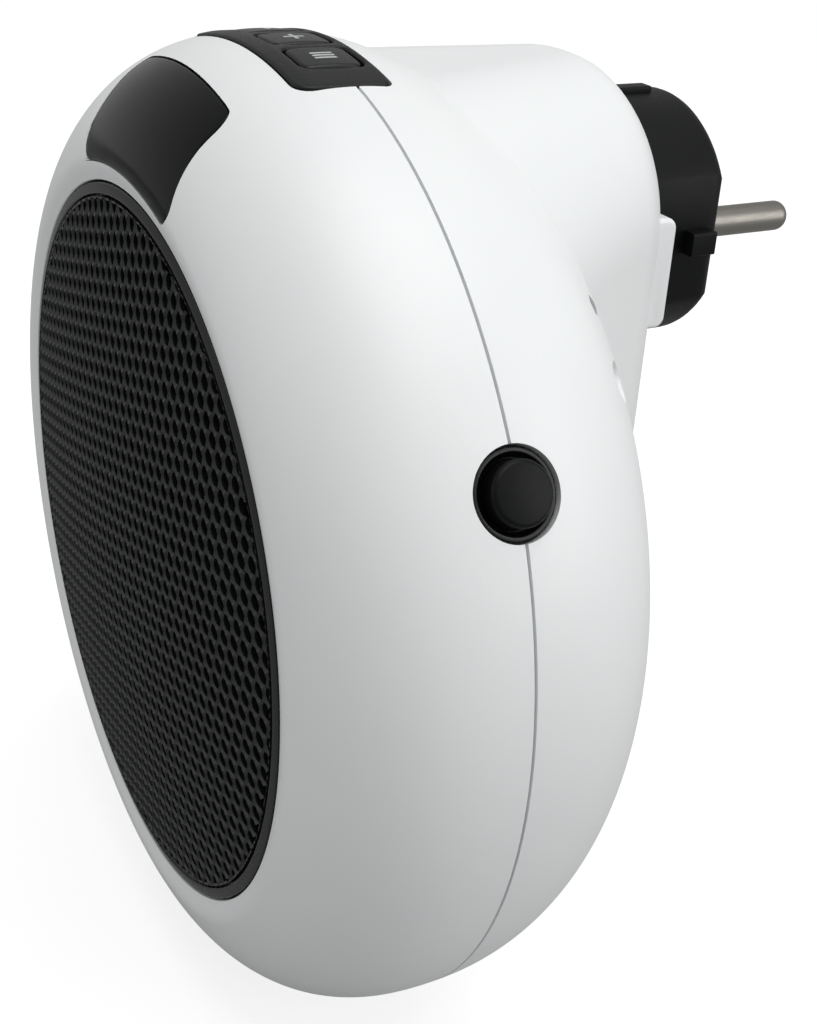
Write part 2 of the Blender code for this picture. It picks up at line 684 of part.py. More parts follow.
def rear_shell():
    half_gap = CLEARANCE / 2
    skin = rear_curve(0)
    skin[0] = (BODY_RADIUS, PARTING_DEPTH + half_gap)
    shell = add("rear_shell", turned([(0, PARTING_DEPTH + half_gap), *skin]), "white_shell")
    neck = helper("neck_skin", loft([neck_section(share, 0) for share in NECK_STATION_SHARES]))
    cavity_profile = [(0, PARTING_DEPTH - OVERRUN), (BODY_RADIUS - WALL, PARTING_DEPTH - OVERRUN)]
    cavity = helper("rear_cavity", turned([*cavity_profile, *rear_curve(WALL)]))
    neck_length = NECK_END_DEPTH - NECK_ROOT_DEPTH
    inner_share = (NECK_INNER_END - NECK_ROOT_DEPTH) / neck_length
    inner_shares = [share for share in NECK_STATION_SHARES if share < inner_share] + [inner_share]
    neck_cavity = helper("neck_cavity", loft([neck_section(share, WALL) for share in inner_shares]))
    boss_start = NECK_INNER_END - PLUG_FLANGE_THICKNESS - CLEARANCE
    bosses = []
    for side in (-1, 1):
        boss = rod(CLAMP_BOSS_RADIUS, boss_start, NECK_INNER_END + OVERRUN)
        bosses.append(shifted(boss, (side * CLAMP_BOSS_OFFSET, 0, PLUG_HEIGHT + CLAMP_BOSS_HEIGHT)))
    join(cavity, neck_cavity)
    cut(cavity, posts("rear_posts", POST_RADIUS, PARTING_DEPTH + half_gap, REAR_DEPTH))
    cut(cavity, helper("clamp_bosses", gathered(bosses)))
    join(shell, neck)
    cut(shell, cavity)
    cut(shell, helper("plug_mouth", plug_mouth()), helper("tab_notch", tab_notch()))
    join(shell, *cheeks())
    cut(shell, helper("air_slots", air_slots()))
    cut(shell, posts("screw_holes", SCREW_RADIUS + CLEARANCE, PARTING_DEPTH, REAR_DEPTH))
    head_start = CASE_SCREW_HEAD_DEPTH - SCREW_HEAD_HEIGHT - CLEARANCE
    cut(shell, posts("screw_heads", SCREW_HEAD_RADIUS + CLEARANCE, head_start, REAR_DEPTH))
    pilots = []
    for side in (-1, 1):
        pilot = rod(SCREW_RADIUS + CLEARANCE, boss_start - OVERRUN, NECK_INNER_END)
        pilots.append(shifted(pilot, (side * CLAMP_BOSS_OFFSET, 0, PLUG_HEIGHT + CLAMP_BOSS_HEIGHT)))
    cut(shell, helper("clamp_pilots", gathered(pilots)))
    return shell


def plug_mouth():
    mouth = rod(PLUG_RADIUS + CLEARANCE, NECK_INNER_END - OVERRUN, NECK_END_DEPTH + OVERRUN, ROUND_STEPS)
    return shifted(mouth, (0, 0, PLUG_HEIGHT))


def tab_notch():
    half = PLUG_TAB_HALF_WIDTH + CLEARANCE
    top = PLUG_HEIGHT + PLUG_TAB_HEIGHT + CLEARANCE
    return block((-half, NECK_INNER_END - OVERRUN, PLUG_HEIGHT), (half, NECK_END_DEPTH + OVERRUN, top))


def cheeks():
    """A cheek each side of the plug, standing on the neck's end beside the plug's flat."""
    made = []
    inner = PLUG_FLAT + CLEARANCE
    low, high = PLUG_HEIGHT + CHEEK_LOW, PLUG_HEIGHT + CHEEK_HIGH
    for side, name in ((1, "cheek_right"), (-1, "cheek_left")):
        shape = block((inner, NECK_INNER_END + OVERRUN, low), (CHEEK_OUTER, CHEEK_END, high))
        bmesh.ops.scale(shape, vec=(side, 1, 1), verts=shape.verts)
        made.append(helper(name, outward(shape)))
    return made


def air_slots():
    shapes = []
    for index in range(SLOT_COUNT):
        if index in POST_SLOTS:
            continue
        beside_neck = index in (0, SLOT_COUNT - 1)
        inner_radius = SLOT_BESIDE_NECK_RADIUS if beside_neck else SLOT_INNER_RADIUS
        outer_radius = SLOT_NECK_OUTER_RADIUS if beside_neck else SLOT_OUTER_RADIUS
        low = (-SLOT_WIDTH / 2, DUCT_END, inner_radius)
        high = (SLOT_WIDTH / 2, REAR_DEPTH + OVERRUN, outer_radius)
        shapes.append(shifted(block(low, high), (0, 0, 0), slot_angle(index)))
    return gathered(shapes)


def grille_ring():
    inner = RING_RADIUS - RING_FACE_WIDTH
    lip = inner - RING_LIP_WIDTH
    lip_start = GRILLE_EDGE_DEPTH + GRILLE_THICKNESS + CLEARANCE
    profile = [
        (RING_RADIUS, 0),
        (RING_RADIUS, RING_SKIRT_DEPTH),
        (RING_RADIUS - RING_WALL, RING_SKIRT_DEPTH),
        (RING_RADIUS - RING_WALL, lip_start + RING_WALL),
        (lip, lip_start + RING_WALL),
        (lip, lip_start),
        (inner, lip_start),
        (inner, -RING_CREST / 2),
        (between(inner, RING_RADIUS, 1 / 4), -RING_CREST),
        (between(inner, RING_RADIUS, 2 / 3), -RING_CREST),
    ]
    return add("grille_ring", turned(profile), "black_trim")


def front_grille():
    """A sheet with hexagonal holes, bent into a shallow dome."""
    radius = RING_RADIUS - RING_FACE_WIDTH - CLEARANCE
    sheet = helper("grille_sheet", rod(radius, 0, GRILLE_THICKNESS, ROUND_STEPS))
    hole = (HOLE_PITCH - HOLE_WALL) / math.sqrt(3)
    row_step = HOLE_PITCH * math.sqrt(3) / 2
    rows = int(radius / row_step)
    holes = []
    for row in range(-rows, rows + 1):
        columns = int(2 * radius / HOLE_PITCH)
        for column in range(-columns, columns + 1):
            x = HOLE_PITCH * (column + (row % 2) / 2)
            z = row_step * row
            if math.hypot(x, z) + hole < radius - GRILLE_RIM:
                outline = arc(hole, 0, 2 * math.pi, 6, (x, z))[:-1]
                holes.append(prism(outline, -OVERRUN, GRILLE_THICKNESS + OVERRUN))
    cut(sheet, helper("grille_holes", gathered(holes)))
    graph = bpy.context.evaluated_depsgraph_get()
    shape = bmesh.new()
    shape.from_object(sheet, graph)
    for vert in shape.verts:
        share = math.hypot(vert.co.x, vert.co.z) / radius
        vert.co.y += GRILLE_EDGE_DEPTH - GRILLE_DOME * (1 - share**2)
    return add("front_grille", shape, "black_mesh")


def display_lens():
    skin = front_curve(0)[1:]
    inner = front_curve(WALL)[1:]
    lens = add("display_lens", turned([*skin, *reversed(inner)]), "smoked_window")
    outline = helper("lens_outline", prism(lens_outline(0), FRONT_EDGE_DEPTH - OVERRUN, LENS_BACK_DEPTH))
    combine(lens, outline, "INTERSECT")
    return lens


def display_frame():
    """Middle of the window's outer face, about which the display behind it is laid out."""
    radius = (LENS_LOW_RADIUS + LENS_HIGH_RADIUS) / 2
    across = (radius - FRONT_EDGE_RADIUS) / (BODY_RADIUS - FRONT_EDGE_RADIUS)
    along = (1 - across**FRONT_CURVE_ACROSS) ** (1 / FRONT_CURVE_ALONG)
    depth = PARTING_DEPTH - (PARTING_DEPTH - FRONT_EDGE_DEPTH) * along
    return Vector((0, depth, radius))


def display_pieces():
    middle = display_frame()
    start = WALL + DISPLAY_GAP
    end = start + DISPLAY_SIZE.y
    half = DISPLAY_SIZE / 2
    face = block((-half.x, start, DISPLAY_RISE - half.z), (half.x, end, DISPLAY_RISE + half.z))
    add("digit_display", face, "display_face", middle, tilt=-DISPLAY_TILT)
    board_start = end + CLEARANCE
    low = (-DISPLAY_BOARD_WIDTH / 2, board_start, -DISPLAY_BOARD_LOW)
    high = (DISPLAY_BOARD_WIDTH / 2, board_start + THIN_BOARD_THICKNESS, DISPLAY_BOARD_HIGH)
    add("display_board", block(low, high), "green_board", middle, tilt=-DISPLAY_TILT)


def control_panel():
    band = tube(BODY_RADIUS, BODY_RADIUS - WALL, PANEL_START - OVERRUN, PANEL_END + OVERRUN)
    panel = add("control_panel", band, "black_panel")
    combine(panel, panel_block("panel_shape", 0), "INTERSECT")
    board_top = SWITCH_TOP_HEIGHT - SWITCH_PLUNGER_HEIGHT - SWITCH_BODY_HEIGHT - CLEARANCE
    for side in (-1, 1):
        outer = side * (PANEL_HALF_WIDTH - PANEL_LEG_INSET)
        inner = outer - side * PANEL_LEG_THICKNESS
        top = math.sqrt(BODY_RADIUS**2 - outer**2) - WALL / 2
        low = (min(inner, outer), PANEL_START + PANEL_LEG_MARGIN, board_top + CLEARANCE)
        high = (max(inner, outer), PANEL_END - PANEL_LEG_MARGIN, top)
        join(panel, helper("panel_leg", block(low, high)))
    for index in (-1, 0, 1):
        half = Vector((KEY_WIDTH / 2 + CLEARANCE, KEY_LENGTH / 2 + CLEARANCE, 2 * WALL))
        hole = helper("key_hole", block(-half, half), on_rim(key_angle(index), KEY_CENTRE_DEPTH), key_angle(index))
        cut(panel, hole)


def key(name, index):
    """A key with a flange under the panel and a stem down to its switch."""
    angle = key_angle(index)
    reach = SWITCH_TOP_HEIGHT + CLEARANCE + KEY_STEM_RADIUS * abs(math.sin(angle))
    stem_end = reach / math.cos(angle) + KEY_TRAVEL - BODY_RADIUS
    flange_top = -WALL - 2 * CLEARANCE
    half_x, half_y = KEY_WIDTH / 2, KEY_LENGTH / 2
    edge = CLEARANCE + KEY_FLANGE_EDGE
    cap = block((-half_x, -half_y, flange_top - CLEARANCE), (half_x, half_y, KEY_PROUD))
    bmesh.ops.bevel(
        cap,
        geom=[e for e in cap.edges if all(v.co.z > 0 for v in e.verts)],
        offset=KEY_BEVEL,
        segments=1,
        affect="EDGES",
    )
    made = add(name, cap, "black_key", on_rim(angle, KEY_CENTRE_DEPTH), angle)
    flange = block(
        (-half_x - edge, -half_y - edge, flange_top - KEY_FLANGE_THICKNESS),
        (half_x + edge, half_y + edge, flange_top),
    )
    stem = turned_upright(KEY_STEM_RADIUS, stem_end, flange_top - KEY_FLANGE_THICKNESS / 2)
    place = on_rim(angle, KEY_CENTRE_DEPTH)
    join(made, helper(name + "_flange", flange, place, angle), helper(name + "_stem", stem, place, angle))
    return made


def turned_upright(radius, low, high, steps=SMALL_STEPS):
    """A round stem along the local Z axis."""
    outline = arc(radius, 0, 2 * math.pi, steps)[:-1]
    return upright(outline, low, high)


def push_switch(name, index):
    """A small switch with a square plunger, upright under its key."""
    half = SWITCH_SIDE / 2
    top = SWITCH_TOP_HEIGHT - SWITCH_PLUNGER_HEIGHT
    shape = block((-half, -half, top - SWITCH_BODY_HEIGHT), (half, half, top))
    face = max(shape.faces, key=lambda item: item.calc_center_median().z)
    inset = (SWITCH_SIDE - SWITCH_PLUNGER_SIDE) / 2
    bmesh.ops.inset_region(shape, faces=[face], thickness=inset)
    raised = bmesh.ops.extrude_face_region(shape, geom=[face])
    lifted = [item for item in raised["geom"] if isinstance(item, bmesh.types.BMVert)]
    bmesh.ops.translate(shape, vec=(0, 0, SWITCH_PLUNGER_HEIGHT), verts=lifted)
    bmesh.ops.delete(shape, geom=[face], context="FACES_ONLY")
    x = SWITCH_TOP_HEIGHT * math.tan(key_angle(index))
    return add(name, shape, "black_panel", (x, KEY_CENTRE_DEPTH, 0))


def control_board():
    top = SWITCH_TOP_HEIGHT - SWITCH_PLUNGER_HEIGHT - SWITCH_BODY_HEIGHT - CLEARANCE
    half = PANEL_HALF_WIDTH - PANEL_LEG_INSET
    low = (-half, PANEL_START, top - BOARD_THICKNESS)
    return add("control_board", block(low, (half, PANEL_END + CONTROL_BOARD_MARGIN, top)), "green_board")


def radial(shape):
    """Turns a shape made along the depth axis so that its depth runs outward along local Z."""
    bmesh.ops.transform(shape, matrix=Matrix.Rotation(math.pi / 2, 4, "X"), verts=shape.verts)
    return shape


def power_bezel():
    bore = BUTTON_RADIUS + CLEARANCE
    edge = -BEZEL_SETBACK
    end = -CLEARANCE - BEZEL_LENGTH
    profile = [
        (BEZEL_RADIUS - CLEARANCE, edge),
        (BEZEL_RADIUS - CLEARANCE - BEZEL_LIP, edge),
        (BEZEL_RADIUS - CLEARANCE - 2 * BEZEL_LIP, edge - BEZEL_SUNK),
        (bore, edge - BEZEL_SUNK),
        (bore, end),
        (BEZEL_RADIUS - CLEARANCE, end),
    ]
    shape = radial(turned(profile, 2 * SMALL_STEPS))
    return add("power_bezel", shape, "black_trim", on_rim(BUTTON_ANGLE, PARTING_DEPTH), BUTTON_ANGLE)


def power_button():
    switch_top = -CLEARANCE - BEZEL_LENGTH - CLEARANCE
    low = switch_top + CLEARANCE + BUTTON_TRAVEL
    profile = [(0, low), (BUTTON_RADIUS, low), (BUTTON_RADIUS, BUTTON_PROUD - BUTTON_DOME)]
    profile.append((BUTTON_RADIUS - BUTTON_DOME / 3, BUTTON_PROUD - BUTTON_DOME / 3))
    profile.append((BUTTON_RADIUS - BUTTON_DOME, BUTTON_PROUD))
    profile.append((0, BUTTON_PROUD))
    shape = radial(turned(profile, 2 * SMALL_STEPS))
    add("power_button", shape, "black_key", on_rim(BUTTON_ANGLE, PARTING_DEPTH), BUTTON_ANGLE)
    half = POWER_SWITCH_SIZE / 2
    body = block((-half.x, -half.y, switch_top - POWER_SWITCH_SIZE.z), (half.x, half.y, switch_top))
    add("power_switch", body, "black_panel", on_rim(BUTTON_ANGLE, PARTING_DEPTH), BUTTON_ANGLE)


def fan_duct():
    """The duct with its front flange, the motor's hub on spokes, a slot for the leads and the board's posts."""
    outer = DUCT_RADIUS + DUCT_WALL
    start = COLLAR_DEPTH + CLEARANCE
    flange_radius = RING_RADIUS + COLLAR_WALL
    profile = [
        (flange_radius, start),
        (flange_radius, start + DUCT_FLANGE),
        (outer, start + DUCT_FLANGE),
        (outer, DUCT_END),
        (DUCT_RADIUS, DUCT_END),
        (DUCT_RADIUS, start),
    ]
    duct = add("fan_duct", turned(profile), "grey_duct")
    slot_low = (-LEAD_SLOT_HALF_WIDTH, HEATER_START + HEATER_DEPTH + CLEARANCE, DUCT_RADIUS / 2)
    slot_high = (LEAD_SLOT_HALF_WIDTH, HUB_START, outer + OVERRUN)
    cut(duct, helper("lead_slot", block(slot_low, slot_high)))
    bore = MOTOR_RADIUS + CLEARANCE
    hub = helper("motor_hub", tube(bore + HUB_WALL, bore, HUB_START, HUB_END, 2 * SMALL_STEPS))
    join(duct, hub)
    for index in range(SPOKE_COUNT):
        low = (-SPOKE_WIDTH / 2, HUB_START + HUB_WALL, bore + HUB_WALL / 2)
        high = (SPOKE_WIDTH / 2, HUB_END - HUB_WALL / 2, DUCT_RADIUS + DUCT_WALL / 2)
        turn = 2 * math.pi * (index + 1 / 2) / SPOKE_COUNT
        join(duct, helper("spoke", block(low, high), turn=turn))
    post_depth = MAINS_BOARD_START + BOARD_POST_SETBACK
    for side in (-1, 1):
        half = BOARD_POST_SIDE / 2
        x = side * BOARD_POST_OFFSET
        foot = math.sqrt(DUCT_RADIUS**2 - (BOARD_POST_OFFSET + half) ** 2) + DUCT_WALL / 2
        low = (x - half, post_depth - half, foot)
        high = (x + half, post_depth + half, MAINS_BOARD_HEIGHT - CLEARANCE)
        join(duct, helper("board_post", block(low, high)))
    return duct


def fan_motor():
    motor = add("fan_motor", rod(MOTOR_RADIUS, MOTOR_START, MOTOR_END, 2 * SMALL_STEPS), "steel")
    hole = rod(SHAFT_RADIUS + RUNNING_CLEARANCE, SHAFT_START - CLEARANCE, MOTOR_END + OVERRUN)
    cut(motor, helper("motor_bore", hole))
    return motor


def fan_shaft():
    return add("fan_shaft", rod(SHAFT_RADIUS, SHAFT_START, SHAFT_END), "steel")


def blade(turn):
    """One twisted blade as a loft of thin sections from the hub to the tip."""
    sections = []
    for step in range(BLADE_STEPS + 1):
        share = step / BLADE_STEPS
        root = IMPELLER_HUB_RADIUS - BLADE_THICKNESS
        radius = between(root, IMPELLER_RADIUS, share)
        pitch = between(BLADE_ROOT_PITCH, BLADE_TIP_PITCH, share)
        depth = IMPELLER_LENGTH - 2 * BLADE_MARGIN - BLADE_THICKNESS * math.sin(pitch)
        chord = depth / math.cos(pitch)
        along = Vector((math.sin(pitch), math.cos(pitch))) * chord / 2
        across = Vector((math.cos(pitch), -math.sin(pitch))) * BLADE_THICKNESS / 2
        middle = IMPELLER_START + IMPELLER_LENGTH / 2
        ring = []
        for corner in (along + across, along - across, -along - across, -along + across):
            ring.append((corner.x, middle + corner.y, radius))
        sections.append(ring)
    return shifted(loft(sections), (0, 0, 0), turn)


def fan_impeller():
    bore = SHAFT_RADIUS + RUNNING_CLEARANCE
    hub = tube(IMPELLER_HUB_RADIUS, bore, IMPELLER_START, IMPELLER_START + IMPELLER_LENGTH, SMALL_STEPS)
    impeller = add("fan_impeller", hub, "grey_duct")
    for index in range(BLADE_COUNT):
        join(impeller, helper("blade", blade(2 * math.pi * index / BLADE_COUNT)))
    return impeller


def heater_frame():
    end = HEATER_START + HEATER_DEPTH
    frame = add("heater_frame", rod(DUCT_RADIUS - CLEARANCE, HEATER_START, end, ROUND_STEPS), "brown_frame")
    low = (-HEATER_HALF_WIDTH, HEATER_START - OVERRUN, -HEATER_HALF_HEIGHT)
    high = (HEATER_HALF_WIDTH, end + OVERRUN, HEATER_HALF_HEIGHT)
    cut(frame, helper("heater_window", block(low, high)))
    return frame


def ptc_bar(name, height):
    half_width = HEATER_HALF_WIDTH - CLEARANCE
    low = (-half_width, HEATER_START, height - BAR_HEIGHT / 2)
    high = (half_width, HEATER_START + HEATER_DEPTH, height + BAR_HEIGHT / 2)
    return add(name, block(low, high), "ceramic")


def fin_pack(name, low, high):
    """A folded fin strip between two heights."""
    half_width = HEATER_HALF_WIDTH - 2 * CLEARANCE
    step = 2 * half_width / FIN_FOLDS
    rise = FIN_THICKNESS * math.hypot(1, (high - low) / step)
    edge = []
    for fold in range(FIN_FOLDS + 1):
        edge.append((-half_width + step * fold, high - rise if fold % 2 else low))
    outline = edge + [(x, z + rise) for x, z in reversed(edge)]
    inset = CLEARANCE
    shape = prism(outline, HEATER_START + inset, HEATER_START + HEATER_DEPTH - inset)
    return add(name, shape, "aluminium_fin")


def heater_core():
    bar_edge = BAR_OFFSET + BAR_HEIGHT / 2 + CLEARANCE
    outer = HEATER_HALF_HEIGHT - CLEARANCE
    inner = BAR_OFFSET - BAR_HEIGHT / 2 - CLEARANCE
    ptc_bar("ptc_bar_upper", BAR_OFFSET)
    ptc_bar("ptc_bar_lower", -BAR_OFFSET)
    fin_pack("fin_pack_upper", bar_edge, outer)
    fin_pack("fin_pack_middle", -inner, inner)
    fin_pack("fin_pack_lower", -outer, -bar_edge)
    end = HEATER_START + HEATER_DEPTH + CLEARANCE
    for name, side in (("terminal_live", -1), ("terminal_neutral", 1)):
        centre = Vector((side * terminal_offset(), end + TERMINAL_SIZE.y / 2, -side * BAR_OFFSET))
        add(name, centred(TERMINAL_SIZE), "brass", centre)


def terminal_offset():
    return HEATER_HALF_WIDTH - TERMINAL_SIZE.x


def thermal_cutout():
    start = HEATER_START + HEATER_DEPTH + CLEARANCE
    shape = rod(CUTOUT_RADIUS, start, start + CUTOUT_LENGTH)
    return add("thermal_cutout", shape, "steel", (0, 0, CUTOUT_HEIGHT))


def mains_board():
    top = MAINS_BOARD_HEIGHT + BOARD_THICKNESS
    half = MAINS_BOARD_HALF_WIDTH
    low = (-half, MAINS_BOARD_START, MAINS_BOARD_HEIGHT)
    add("power_board", block(low, (half, MAINS_BOARD_END, top)), "green_board")
    for name, size, place, finish_name in (
        ("relay", RELAY_SIZE, RELAY_PLACE, "relay_blue"),
        ("filter_capacitor", CAPACITOR_SIZE, CAPACITOR_PLACE, "capacitor_yellow"),
    ):
        centre = place + Vector((0, MAINS_BOARD_START, top + CLEARANCE + size.z / 2))
        add(name, centred(size), finish_name, centre)


def smooth_path(points, steps=3):
    """Points on a Catmull-Rom curve through the given ones."""
    ends = [points[0] * 2 - points[1], *points, points[-1] * 2 - points[-2]]
    path = []
    for index in range(len(points) - 1):
        a, b, c, d = ends[index : index + 4]
        for step in range(steps):
            t = step / steps
            path.append(
                (2 * b + (c - a) * t + (2 * a - 5 * b + 4 * c - d) * t**2 + (3 * b - a - 3 * c + d) * t**3) / 2
            )
    return path + [points[-1]]


def lead(name, points, finish_name):
    """An insulated wire as a round tube along a smooth path."""
    curve = bpy.data.curves.new(name, "CURVE")
    curve.dimensions = "3D"
    curve.bevel_depth = LEAD_RADIUS
    curve.bevel_resolution = 1
    curve.use_fill_caps = True
    path = smooth_path([Vector(point) for point in points])
    line = curve.splines.new("POLY")
    line.points.add(len(path) - 1)
    for point, place in zip(line.points, path):
        point.co = (*place, 1)
    curve.materials.append(finish(finish_name))
    wire = bpy.data.objects.new(name, curve)
    wire.parent = bpy.data.objects["body_frame"]
    bpy.context.scene.collection.objects.link(wire)
    return wire


def heater_leads():
    """From the mains board through the duct's slot to each terminal, behind the element."""
    board_top = MAINS_BOARD_HEIGHT + BOARD_THICKNESS
    behind = HEATER_START + HEATER_DEPTH + CLEARANCE + TERMINAL_SIZE.y / 2
    start_depth = MAINS_BOARD_START + 2 * LEAD_RADIUS
    for name, side, finish_name in (("lead_live", -1, "lead_red"), ("lead_neutral", 1, "lead_blue")):
        x = side * (LEAD_SLOT_HALF_WIDTH - 2 * LEAD_RADIUS)
        end_x = side * terminal_offset()
        end_z = -side * BAR_OFFSET + TERMINAL_SIZE.z / 2 + CLEARANCE
        bends = []
        for across, height in zip(LEAD_ACROSS_SHARES, LEAD_HEIGHT_SHARES):
            bends.append((between(x, end_x, across), behind, DUCT_RADIUS * height))
        lead(
            name,
            (
                (x, start_depth, board_top + CLEARANCE),
                (x, start_depth, board_top + 2 * LEAD_RADIUS),
                (x, (start_depth + behind) / 2, board_top + LEAD_RADIUS),
                (x, behind, DUCT_RADIUS + DUCT_WALL),
                *bends,
                (end_x, behind, end_z + BAR_OFFSET / 2),
                (end_x, behind, end_z),
            ),
            finish_name,
        )


def mains_leads():
    """From each pin's inner end up to the mains board."""
    board_top = MAINS_BOARD_HEIGHT + BOARD_THICKNESS
    pin_start = clamp_depths()[0] - PIN_TAIL
    clear = MAINS_BOARD_END + 2 * LEAD_RADIUS
    for name, side, finish_name in (("mains_lead_left", -1, "lead_red"), ("mains_lead_right", 1, "lead_blue")):
        x = side * PIN_OFFSET
        lead(
            name,
            (
                (x, pin_start - CLEARANCE, PLUG_HEIGHT),
                (x, pin_start - 2 * LEAD_RADIUS, PLUG_HEIGHT),
                (x, clear, PLUG_HEIGHT + 3 * LEAD_RADIUS),
                (x, clear - LEAD_RADIUS / 2, board_top + LEAD_RADIUS),
                (x, MAINS_BOARD_END - LEAD_RADIUS, board_top + 4 * LEAD_RADIUS),
                (x, MAINS_BOARD_END - 3 * LEAD_RADIUS, board_top + 2 * LEAD_RADIUS),
                (x, MAINS_BOARD_END - 3 * LEAD_RADIUS, board_top + CLEARANCE),
            ),
            finish_name,
        )


def contour(radius, flat):
    """The plug's outline: a circle cut off at each side."""
    start = math.asin(flat / radius)
    steps = SMALL_STEPS // 2
    upper = arc(radius, -start, start, steps)
    lower = arc(radius, math.pi - start, math.pi + start, steps)
    return upper + lower


def plug_insert():
    flange_start = NECK_INNER_END - CLEARANCE - PLUG_FLANGE_THICKNESS
    bevel_start = PLUG_FACE_DEPTH - PLUG_BEVEL
    centre = (0, 0, PLUG_HEIGHT)
    sections = []
    for depth, inset in ((flange_start, 0), (bevel_start, 0), (PLUG_FACE_DEPTH, PLUG_BEVEL_INSET)):
        sections.append([(x, depth, z) for x, z in contour(PLUG_RADIUS - inset, PLUG_FLAT - inset)])
    plug = add("plug_insert", loft(sections), "plug_black", centre)
    flange = rod(
        PLUG_RADIUS + PLUG_FLANGE_WIDTH,
        flange_start,
        flange_start + PLUG_FLANGE_THICKNESS,
        ROUND_STEPS,
    )
    tab_half = PLUG_TAB_HALF_WIDTH
    tab = block(
        (-tab_half, flange_start + PLUG_FLANGE_THICKNESS / 2, PLUG_FLAT),
        (tab_half, PLUG_TAB_END, PLUG_TAB_HEIGHT),
    )
    join(plug, helper("plug_flange", flange, centre), helper("plug_tab", tab, centre))
    rib = block(
        (-PLUG_RADIUS, PLUG_RIB_START, -PLUG_RIB_HALF_HEIGHT),
        (PLUG_RADIUS, bevel_start, PLUG_RIB_HALF_HEIGHT),
    )
    join(plug, helper("plug_ribs", rib, centre))
    for side in (-1, 1):
        hole = rod(PIN_RADIUS + CLEARANCE, flange_start - OVERRUN, PLUG_FACE_DEPTH + OVERRUN)
        cut(plug, helper("pin_hole", hole, (side * PIN_OFFSET, 0, PLUG_HEIGHT)))
    return plug


def plug_pin(name, side):
    start = clamp_depths()[0] - PIN_TAIL
    end = PLUG_FACE_DEPTH + PIN_LENGTH
    profile = [
        (0, start),
        (PIN_RADIUS, start),
        (PIN_RADIUS, end - PIN_TIP),
        (PIN_RADIUS - PIN_TIP / 3, end - PIN_TIP / 2),
        (PIN_RADIUS - PIN_TIP, end),
        (0, end),
    ]
    return add(name, turned(profile, SMALL_STEPS), "nickel", (side * PIN_OFFSET, 0, PLUG_HEIGHT))


def clamp_depths():
    end = NECK_INNER_END - CLEARANCE - PLUG_FLANGE_THICKNESS - CLEARANCE
    return end - CLAMP_THICKNESS, end


def plug_clamp():
    """A plate with a round top that holds the plug's flange against the neck's end."""
    start, end = clamp_depths()
    outline = arc(CLAMP_HALF_WIDTH, -math.pi / 2, math.pi / 2, SMALL_STEPS)
    outline += [(CLAMP_HALF_WIDTH, CLAMP_LOW), (-CLAMP_HALF_WIDTH, CLAMP_LOW)]
    centre = (0, 0, PLUG_HEIGHT)
    plate = add("plug_clamp", prism(outline, start, end), "grey_duct", centre)
    cut(plate, helper("clamp_window", rod(CLAMP_WINDOW_RADIUS, start - OVERRUN, end + OVERRUN), centre))
    for side in (-1, 1):
        place = (side * CLAMP_BOSS_OFFSET, 0, PLUG_HEIGHT + CLAMP_BOSS_HEIGHT)
        hole = rod(SCREW_RADIUS + CLEARANCE, start - OVERRUN, end + OVERRUN)
        cut(plate, helper("clamp_hole", hole, place))
    return plate


def screw(name, place, head_depth, length, direction, turn=0.0):
    """A pan-head screw whose head starts at head_depth and whose shank runs along direction."""
    under_head = head_depth + direction * SCREW_HEAD_HEIGHT
    tip = head_depth + direction * length
    profile = [
        (0, head_depth),
        (SCREW_HEAD_RADIUS, head_depth),
        (SCREW_HEAD_RADIUS, under_head),
        (SCREW_RADIUS, under_head),
        (SCREW_RADIUS, tip),
        (0, tip),
    ]
    shape = shifted(turned(profile, SMALL_STEPS), place, turn)
    return add(name, shape, "steel")


def screws():
    for index, side in zip(POST_SLOTS, POST_NAMES):
        place = (0, 0, POST_CIRCLE)
        screw(f"case_screw_{side}", place, CASE_SCREW_HEAD_DEPTH, CASE_SCREW_LENGTH, -1, slot_angle(index))
    start = clamp_depths()[0] - CLEARANCE - SCREW_HEAD_HEIGHT
    for side, name in ((-1, "clamp_screw_left"), (1, "clamp_screw_right")):
        place = (side * CLAMP_BOSS_OFFSET, 0, PLUG_HEIGHT + CLAMP_BOSS_HEIGHT)
        screw(name, place, start, SCREW_HEAD_HEIGHT + CLAMP_SCREW_LENGTH, 1)


def shell_openings(shells):
    """The cuts that both shells share: the key panel's and the power button's, across the parting line."""
    panel_cut = panel_block("panel_cut", CLEARANCE)
    hole = radial(rod(BEZEL_RADIUS, -BEZEL_LENGTH, OVERRUN, 2 * SMALL_STEPS))
    button_cut = helper("button_cut", hole, on_rim(BUTTON_ANGLE, PARTING_DEPTH), BUTTON_ANGLE)
    for shell in shells:
        cut(shell, panel_cut, button_cut)


def build():
    start_scene()
    shell_openings((front_shell(), rear_shell()))
    grille_ring()
    front_grille()
    display_lens()
    display_pieces()
    control_panel()
    for name, index in (("minus", -1), ("plus", 0), ("menu", 1)):
        key(f"{name}_key", index)
        push_switch(f"{name}_switch", index)
    control_board()
    power_bezel()
    power_button()
    fan_duct()
    fan_motor()
    fan_shaft()
    fan_impeller()
    heater_frame()
    heater_core()
    thermal_cutout()
    mains_board()
    heater_leads()
    mains_leads()
    plug_insert()
    plug_pin("plug_pin_left", -1)
    plug_pin("plug_pin_right", 1)
    plug_clamp()
    screws()


build()
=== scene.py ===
"""Looks of a plug-in fan heater: a white drum on a wall plug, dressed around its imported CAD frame.

Every class holds its sizes in millimetres, with depths counted from the outlet ring's plane toward the
wall and heights from the drum's axis. placed() turns what they make into metres in the CAD's own frame.
"""

from __future__ import annotations

import logging
import math
from dataclasses import dataclass
from enum import Enum
from typing import Callable, Sequence

import bmesh
import bpy
import numpy as np
from mathutils import Matrix, Vector


